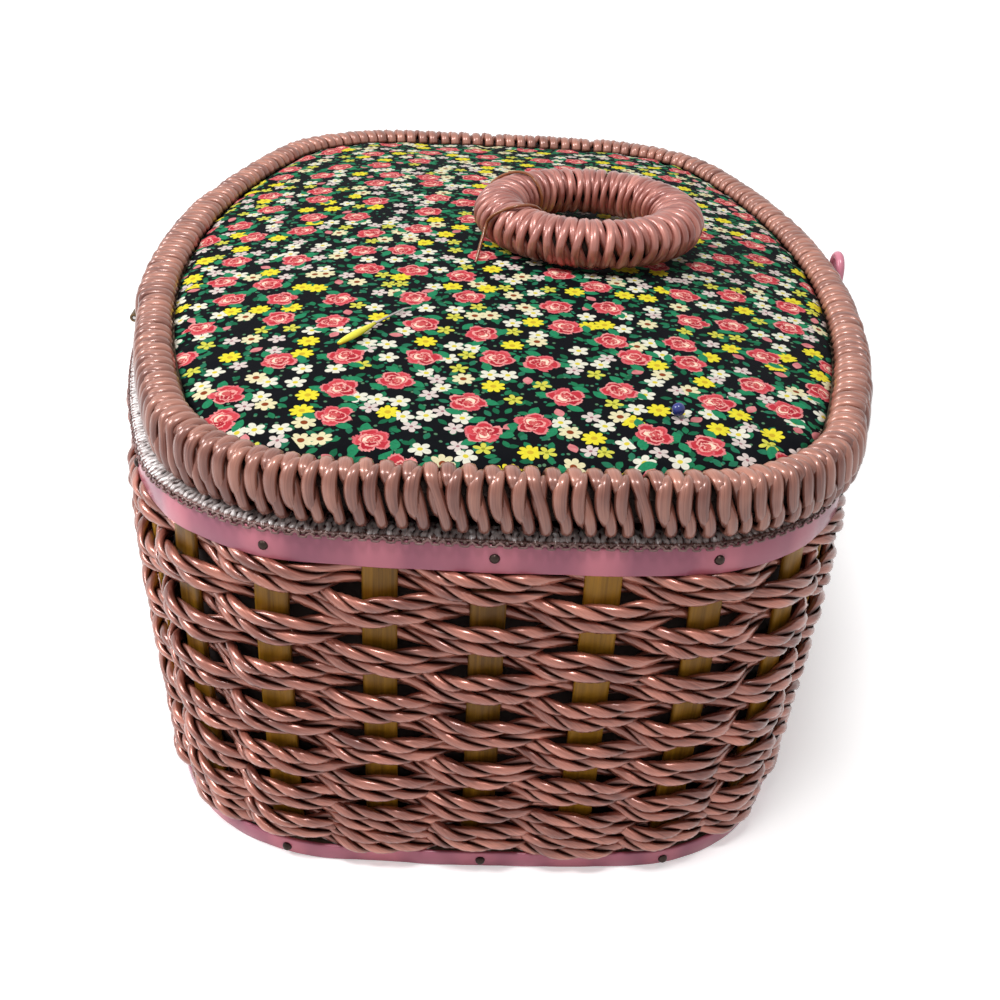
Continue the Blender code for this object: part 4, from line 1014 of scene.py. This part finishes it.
def make_rim():
    """Rim of the lid: a pair of strands to each step, crossing on the outer face."""
    spots, inward = rim_curve()
    position = np.linspace(0, 1, LASH_POINTS)
    at = position * (len(spots) - 1)
    pick = [np.interp(at, np.arange(len(spots)), spots[:, i]) for i in (0, 1)]
    lean = [np.interp(at, np.arange(len(spots)), inward[:, i]) for i in (0, 1)]
    loops = round(outline_length(-LID_OVERHANG) / LASH_PERIOD)
    outer_face = ease(position, 0.12, 0.3) * (1 - ease(position, 0.6, 0.75))
    # Painted shade: the lashing darker down the outer face than on top.
    shade = 0.78 - 0.58 * ease(position, 0.16, 0.46)
    build = Build()
    for i in range(loops):
        mood = rng.random()
        for kind in ("under", "over"):
            wide = LASH_WIDE * (1 + rng.uniform(-0.07, 0.07))
            if kind == "under":
                slide = 0.12 * ease(position, 0.0, 0.3) + 0.8 * ease(position, 0.25, 0.8)
                sink = 0.75 * LASH_SINK * ease(position, 0.33, 0.47) * (1 - ease(position, 0.52, 0.66))
                sink = sink * (0.35 if mood > LASH_STRAY else 1)
                wide = wide * (1.24 - 0.24 * ease(position, 0.27, 0.42) - 0.04 * ease(position, 0.58, 0.74))
            else:
                leaf = np.sin(np.pi * np.clip((position - 0.14) / 0.62, 0, 1) ** 1.15)
                slide = 0.76 - 0.4 * leaf + 0.02 * ease(position, 0.5, 0.8)
                sink = LASH_SINK * (0.6 - 0.68 * ease(position, 0.14, 0.32) + ease(position, 0.62, 0.78))
                sink = sink + (0.5 * LASH_SINK if mood > LASH_STRAY else 0)
                wide = wide * (0.42 + 0.74 * leaf)
            depth = LASH_DEEP + sink + rng.uniform(0, 0.3) * MM
            u = pick[0] + lean[0] * depth
            v = pick[1] + lean[1] * depth
            slide = slide + rng.uniform(-0.09, 0.09) + rng.uniform(-0.14, 0.14) * position
            angle = angles_at((i + slide) / loops, -LID_OVERHANG)
            path = outline(angle, u - LID_OVERHANG - over_hinge(angle) * outer_face, RIM_LOW + v, LID_SHIFT)
            # Painted shade: strands darker the deeper they sink. The normal term varies the tone at random.
            tint = np.clip(shade + rng.normal() * 0.16 - 0.2 * sink / LASH_SINK, 0, 1)
            sweep(build, path, along(angle), wide, LASH_DEEP, 8, False, tint, rng.uniform(0, 1))
    build.finish("rim_lashing", "lid", "lash_cord", ["lid_rim"])
    # Core under the lashing in near-black card: painted shade in the gaps between the strands.
    core = Build()
    ring_marks = np.arange(0, len(spots), 20)
    deep = LASH_DEEP * 2 + 1.3 * MM
    section = [(spots[j, 0] + inward[j, 0] * deep - LID_OVERHANG, RIM_LOW + spots[j, 1] + inward[j, 1] * deep)
               for j in ring_marks]
    middle = np.mean(section, 0)
    section.append((middle[0] + 1.5 * MM, middle[1]))
    wall_ring(core, section, angles_at(even(WALL_STEPS)), LID_SHIFT)
    core.finish("rim_core", "lid", "card")


def make_cover():
    """Printed cloth over its pad: crowned, drawn in at the rim, with faint puckers round the edge."""
    inset = RIM_WIDTH - LID_OVERHANG - 0.6 * MM
    edge = DOME_TOP - DOME_CROWN
    count = 320
    share = even(count)
    rim = outline(angles_at(share), inset)
    pucker = waves(share, 0.22 * MM, 40, 110)
    rings = []
    for lift in (COVER_LOW, COVER_LOW + 3 * MM, edge - 1.2 * MM):
        pull = 0.99 if lift > COVER_LOW else 0.985
        rings.append(flat_ring(rim, pull, lift, LID_SHIFT))
    for reach in np.concatenate((np.linspace(0.993, 0.9, 8), np.linspace(0.86, 0.06, 22))):
        crown = edge + DOME_CROWN * (1 - max(reach, 0.1) ** DOME_POWER)
        roll = -1.2 * MM * float(ease(reach, 0.955, 1.0))
        soft = pucker * float(ease(reach, 0.8, 0.97))
        ring = flat_ring(rim, reach, crown + roll, LID_SHIFT)
        quilt = 0.12 * MM * np.sin(ring[:, 0] * 95 + 1) * np.sin(ring[:, 1] * 120) * (1 - reach ** 6)
        ring[:, 2] += soft + quilt
        rings.append(ring)
    top = rings[-1]
    rings.append(top * np.array([0.05, 0.05, 1]) + np.array([0, 0.95 * LID_SHIFT, 0]))
    rings.append(rings[-1] * np.array([1, 1, 0]) + np.array([0, 0, COVER_LOW]))
    points = np.stack(rings, 1)
    build = Build()
    build.add(points, ring_quads(count, len(rings), True))
    cover = build.finish("printed_cover", "lid", "printed_cloth", ["lid_cover", "lid_pad"])


def pad_height(x, y):
    """Height of the padded top above this place."""
    bearing = math.atan2(y - LID_SHIFT, x)
    angles = np.linspace(-math.pi, math.pi, 2001)
    rim = outline(angles, RIM_WIDTH - LID_OVERHANG + 0.3 * MM)
    turn = np.arctan2(rim[:, 1], rim[:, 0])
    reach = np.interp(bearing, turn, np.hypot(rim[:, 0], rim[:, 1]))
    share = math.hypot(x, y - LID_SHIFT) / reach
    return DOME_TOP - DOME_CROWN * max(share, 0.1) ** DOME_POWER


def make_pins():
    """Two pins left in the cloth: one with a flat yellow head, one with a blue ball."""
    low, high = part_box("flat_pin_shaft")
    head_low, head_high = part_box("flat_pin_head")
    tip = np.array([high.x, low.y, high.z - 0.4 * MM])
    neck = np.array([head_high.x, head_low.y + 0.6 * MM, (head_low.z + head_high.z) / 2 + 0.1 * MM])
    tail = np.array([head_low.x, head_high.y - 0.6 * MM, (head_low.z + head_high.z) / 2 - 0.1 * MM])
    way = unit(neck - tip)
    shaft = Build()
    path = np.linspace(tip + way * -6 * MM - np.array([0, 0, 1.5 * MM]), tip, 4)[:-1]
    path = np.concatenate([path, np.linspace(tip, neck + way * 1 * MM, 6)])
    taper = np.linspace(0.2, 1.0, len(path)) ** 0.4
    sweep(shaft, path, UP, FLAT_PIN_RADIUS * taper, FLAT_PIN_RADIUS * taper)
    shaft.finish("yellow_pin_shaft", "lid", "steel", ["flat_pin_shaft"])
    head = Build()
    share = np.linspace(0, 1, 18)
    path = neck + share[:, None] * (tail - neck)
    swell = np.sin(np.pi * np.clip(0.06 + 0.88 * share ** 1.25, 0, 1))
    sweep(head, path, np.array([-way[1], way[0], 0.0]), (0.25 + 1.05 * swell ** 0.8) * MM,
          (0.25 + 0.55 * swell ** 0.6) * MM, 12)
    head.finish("yellow_pin_head", "lid", "yellow_plastic", ["flat_pin_head"])
    low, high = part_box("ball_pin_head")
    middle = np.array((low + high) / 2)
    radius = (high.x - low.x) / 2
    ball = Build()
    share = np.linspace(0.04, 0.96, 12)
    path = middle + np.stack([0 * share, 0 * share, -radius * np.cos(np.pi * share)], -1)
    round_off = radius * np.sin(np.pi * share)
    sweep(ball, path, np.array([1.0, 0, 0]), round_off, round_off, 14)
    ball.finish("blue_pin_head", "lid", "blue_plastic", ["ball_pin_head"])
    spike = Build()
    foot = np.array([middle[0] + 5 * MM, middle[1], low.z - 2.5 * MM])
    sweep(spike, np.linspace(middle, foot, 5), np.array([0, 1.0, 0]), BALL_PIN_RADIUS, BALL_PIN_RADIUS)
    spike.finish("blue_pin_shaft", "lid", "steel")


# Ring handle

def ring_path(turn, section, depth):
    """Points on the ring: turn goes round it, section round its oval, depth inwards."""
    half_wide = RING_WIDE / 2 - depth
    half_high = RING_HIGH / 2 - depth
    reach = (RING_DIAMETER - RING_WIDE) / 2 + half_wide * np.cos(section)
    flat = facing(turn) * reach[:, None]
    return np.array(RING_CENTRE) + flat + UP * (half_high * np.sin(section))[:, None]


def make_ring():
    """Ring handle: two endless cords that wind round it and cross on its outside and inside."""
    count = RING_LOOPS * RING_POINTS
    step = np.arange(count) / RING_POINTS
    phase = FULL_TURN * (step % 1)
    section = math.pi / 2 - phase
    outer = np.clip(np.sin(phase), 0, 1) ** 2
    inner = np.clip(-np.sin(phase), 0, 1) ** 2
    build = Build()
    share = step / RING_LOOPS
    for sway, start, sunk in ((2.1, 0.0, outer), (-2.1, 0.03, inner)):
        slide = step + start - sway / FULL_TURN * np.cos(phase)
        slide = slide + waves(share, 0.09, 20, 90)
        turn = FULL_TURN * slide / RING_LOOPS
        depth = LASH_DEEP + 0.1 * MM + 1.7 * MM * sunk + np.abs(waves(share, 0.1 * MM, 20, 70))
        path = ring_path(turn, section, depth)
        near = np.clip(-np.cos(section), 0, 1)
        wide = (1.5 - 0.5 * near) * MM * (1 + waves(share, 0.06, 20, 90))
        # Painted shade: strands darker where they sink between the crossings.
        tint = np.clip(0.45 + waves(share, 0.2, 20, 90) - 0.2 * sunk, 0, 1)
        sweep(build, path, along(turn), wide, LASH_DEEP, 8, True, tint)
    build.finish("ring_lashing", "handle", "ring_cord", ["handle_wrap"])
    # Core under the cords in near-black card: painted shade in the gaps between the strands.
    core = Build()
    rows, sides = 90, 12
    sections = FULL_TURN * np.arange(sides) / sides
    depth = np.full(sides, RING_CORE_DEPTH)
    points = [ring_path(np.full(sides, turn), sections, depth) for turn in FULL_TURN * np.arange(rows) / rows]
    core.add(np.concatenate(points), ring_quads(rows, sides, True)[:, ::-1], tint=0.3)
    core.finish("ring_core", "handle", "card", ["handle_core"])
    for side, lean in (("left", TIE_LEAN), ("right", -TIE_LEAN)):
        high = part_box(f"handle_tie_{side}")[1]
        sections = np.linspace(0.0, math.pi + 0.5, 9)
        turn = math.pi / 2 + lean * (0.66 + 0.34 * ease(sections, 0.0, 1.9))
        arch = ring_path(turn, sections, np.full(9, -0.35 * MM))
        foot_x = math.copysign(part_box("handle_tie_right")[1].x, -lean)
        foot = np.array([foot_x, high.y - 1.9 * MM, pad_height(foot_x, high.y)])
        rise = np.array([[0, 0.3, -1.6], [0, 0, 0]]) * MM
        tie = Build()
        path = curve_through(np.concatenate([foot + rise, arch]), 60)
        sweep(tie, path, np.array([0.3, 0.2, 1.0]), TIE_RADIUS, TIE_RADIUS)
        tie.finish(f"nylon_tie_{side}", "handle", "nylon_thread", [f"handle_tie_{side}"])


def make_latch():
    """Rounded plastic bail on its bracket."""
    low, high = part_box("latch_bail")
    radius = LATCH_WIRE / 2
    middle_x = (low.x + high.x) / 2
    y = (low.y + high.y) / 2
    base_z = (low.z + low.z + high.y - low.y) / 2
    half = LATCH_HALF
    tip = high.z - radius - half
    turns = np.linspace(0, math.pi, 17)
    arc = [(half * math.cos(a), tip - base_z + half * math.sin(a)) for a in turns]
    reach = (high.x - low.x) / 2
    leg = [(reach, 0), (reach - 1.5 * MM, 0), (half + 0.5 * MM, 0.1 * MM), (half, 0.8 * MM), (half, 3 * MM)]
    plan = leg + arc + [(-x, z) for x, z in leg[::-1]]
    path = np.array([(middle_x + x, y, base_z + z) for x, z in plan])
    bail = Build()
    sweep(bail, path, np.array([0, 1.0, 0]), radius, radius, 12)
    bail.finish("latch_loop", "bail", "pink_plastic", ["latch_bail"])


def make_lid_lining():
    """Satin lining under the lid, drawn in soft folds towards the rim and sagging a little."""
    low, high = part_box("lid_lining")
    count = 540
    share = even(count)
    rim = outline(angles_at(share), BODY_LENGTH / 2 - high.x)
    folds = waves(share, 0.5 * MM, 60, 130)
    rings = [flat_ring(rim, reach, high.z, LID_SHIFT) for reach in (POINT, 0.4, 0.8, 0.995)]
    for reach in np.concatenate((np.linspace(1.0, 0.86, 7), np.linspace(0.8, POINT, 14))):
        ring = flat_ring(rim, reach, low.z, LID_SHIFT)
        sag = 1.5 * MM * (1 - max(reach, 0.1) ** 8) - 0.5 * MM * math.exp(-(reach / 0.06) ** 2)
        quilt = 0.35 * MM * np.sin(ring[:, 0] * 140) * np.sin(ring[:, 1] * 140) * (1 - reach ** 4)
        ring[:, 2] -= sag + quilt + folds * float(ease(reach, 0.55, 0.9)) * float(1 - ease(reach, 0.97, 1.0))
        rings.append(ring)
    build = Build()
    build.add(np.stack(rings, 1), ring_quads(count, len(rings), True)[:, ::-1])
    build.finish("lid_lining_cloth", "lid", "lining_cloth", ["lid_lining"])


# Tray

def make_tray():
    """Moulded tray with rounded walls: one long pocket and three short ones."""
    low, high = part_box("tray")
    angles = angles_at(even(WALL_STEPS))
    inset, wall = TRAY_INSET, TRAY_WALL
    build = Build()
    turn = [math.radians(a) for a in (0, 30, 60, 90, 120, 150, 180)]
    middle, top = inset + wall / 2, high.z - wall / 2
    lip = [(middle - wall / 2 * math.cos(a), top + wall / 2 * math.sin(a)) for a in turn]
    inner = [(inset + wall, low.z + 4 * MM), (inset + wall + 0.6 * MM, low.z + wall + 1 * MM),
             (inset + wall + 2 * MM, low.z + wall)]
    outer = [(inset + 1.5 * MM, low.z), (inset + 0.4 * MM, low.z + 0.4 * MM), (inset, low.z + 1.5 * MM)]
    rings = [outline(angles, i, z) for i, z in outer + lip + inner]
    rings += [flat_ring(outline(angles, inset), POINT, z) for z in (low.z + wall, low.z)]
    build.add(np.stack(rings, 1), ring_quads(WALL_STEPS, len(rings), True)[:, ::-1])
    for start, end in TRAY_DIVIDERS:
        rail_start = np.array([*start, 0]) * MM
        rail_end = np.array([*end, 0]) * MM
        way = unit(rail_end - rail_start)
        side = np.array([-way[1], way[0], 0])
        rails = []
        for t in np.linspace(0, 1, DIVIDER_STEPS):
            spot = rail_start + (rail_end - rail_start) * t
            places = [spot + side * a * MM + np.array([0, 0, low.z + b * MM]) for a, b in DIVIDER_PROFILE]
            rails.append(np.array(places))
        build.add(np.concatenate(rails), capped_quads(DIVIDER_STEPS, len(DIVIDER_PROFILE))[:, ::-1])
    build.finish("moulded_tray", "tray", "tray_plastic", ["tray"])


# Frame nodes that stay

def dress_frame():
    """Give each frame node that stays its material."""
    skins = {"inner_hoop": "reed", "base_board": "board", "tray_ledge": "card", "lid_board": "board",
             "lid_rod_lower": "card", "lid_rod_upper": "card",
             "latch_bracket": "pink_plastic", "latch_knob": "pink_plastic"}
    for side in ("left", "right"):
        skins[f"hinge_body_leaf_{side}"] = "brass"
        skins[f"hinge_lid_leaf_{side}"] = "brass"
        skins[f"hinge_pin_{side}"] = "steel"
    for node, skin in skins.items():
        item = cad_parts[node]
        item.data.materials.clear()
        item.data.materials.append(SKIN[skin])


# Stage

WORLD_LIGHT = 0.26
FLOOR_GLOW = 0.44
FAR_GLOW = 0.82
GLOW_SPREAD = (0.35, 1.1)
FLOOR_HALF = 6.0
LAMP_TARGET = (0, 0, 0.08)
LAMPS = (("key", (-0.1, 0.85, 0.8), 8.0, 0.36), ("top", (-0.34, 0.05, 1.15), 7.0, 0.24))


def seen_level(tree, unseen, seen):
    """One level for what the camera sees straight, in gloss or through glass, another for other rays."""
    rays = tree.nodes.new("ShaderNodeLightPath")
    total = rays.outputs["Is Camera Ray"]
    for kind in ("Is Glossy Ray", "Is Transmission Ray"):
        both = tree.nodes.new("ShaderNodeMath")
        both.operation = "ADD"
        both.use_clamp = True
        tree.links.new(total, both.inputs[0])
        tree.links.new(rays.outputs[kind], both.inputs[1])
        total = both.outputs[0]
    level = tree.nodes.new("ShaderNodeMapRange")
    tree.links.new(total, level.inputs["Value"])
    level.inputs["To Min"].default_value = unseen
    level.inputs["To Max"].default_value = seen
    return level.outputs[0]


def make_stage():
    """White floor, even light from all round and two lamps."""
    mesh = bpy.data.meshes.new("floor")
    half = FLOOR_HALF
    corners = [(-half, -half, 0), (half, -half, 0), (half, half, 0), (-half, half, 0)]
    mesh.from_pydata(corners, [], [(0, 1, 2, 3)])
    floor = link("floor", mesh)
    paint = Shader("floor", 0.9)
    paint.surface.inputs["Base Color"].default_value = (0.9, 0.9, 0.9, 1)
    paint.surface.inputs["Emission Color"].default_value = (1, 1, 1, 1)
    away = paint.vector("LENGTH", paint.place(), output=1)
    limits = [("Value", away), ("From Min", GLOW_SPREAD[0]), ("From Max", GLOW_SPREAD[1]),
              ("To Min", FLOOR_GLOW), ("To Max", FAR_GLOW)]
    glow = paint.node("ShaderNodeMapRange", limits).outputs[0]
    seen = seen_level(paint.tree, 0.0, 1.0)
    paint.put(paint.surface.inputs["Emission Strength"], paint.times(glow, seen))
    mesh.materials.append(paint.material)
    world = bpy.data.worlds.new("studio")
    bpy.context.scene.world = world
    world.use_nodes = True
    back = world.node_tree.nodes["Background"]
    back.inputs["Color"].default_value = (1, 1, 1, 1)
    world.node_tree.links.new(seen_level(world.node_tree, WORLD_LIGHT, 1.0), back.inputs["Strength"])
    for name, place, power, size in LAMPS:
        lamp = bpy.data.lights.new(name, "AREA")
        lamp.energy = power
        lamp.shape = "SQUARE"
        lamp.size = size
        item = link(name, lamp)
        item.location = place
        aim = Vector(LAMP_TARGET) - Vector(place)
        item.rotation_euler = aim.to_track_quat("-Z", "Y").to_euler()


def make_camera():
    """The photo's own viewpoint."""
    lens = bpy.data.cameras.new("camera")
    lens.lens = CAMERA_LENS
    lens.sensor_width = CAMERA_SENSOR
    camera = link("camera", lens)
    right = CAMERA_RIGHT.normalized()
    back = right.cross(CAMERA_UP).normalized()
    up = back.cross(right)
    turn = Matrix((right, up, back)).transposed().to_4x4()
    camera.matrix_world = Matrix.Translation(CAMERA_PLACE) @ turn
    bpy.context.scene.camera = camera
    bpy.context.scene.view_settings.view_transform = "Standard"


make_camera()
make_skins()
make_ropes()
make_stakes()
make_bands()
make_braid()
make_lining()
make_rim()
make_cover()
make_pins()
make_ring()
make_latch()
make_lid_lining()
make_tray()
dress_frame()
make_stage()
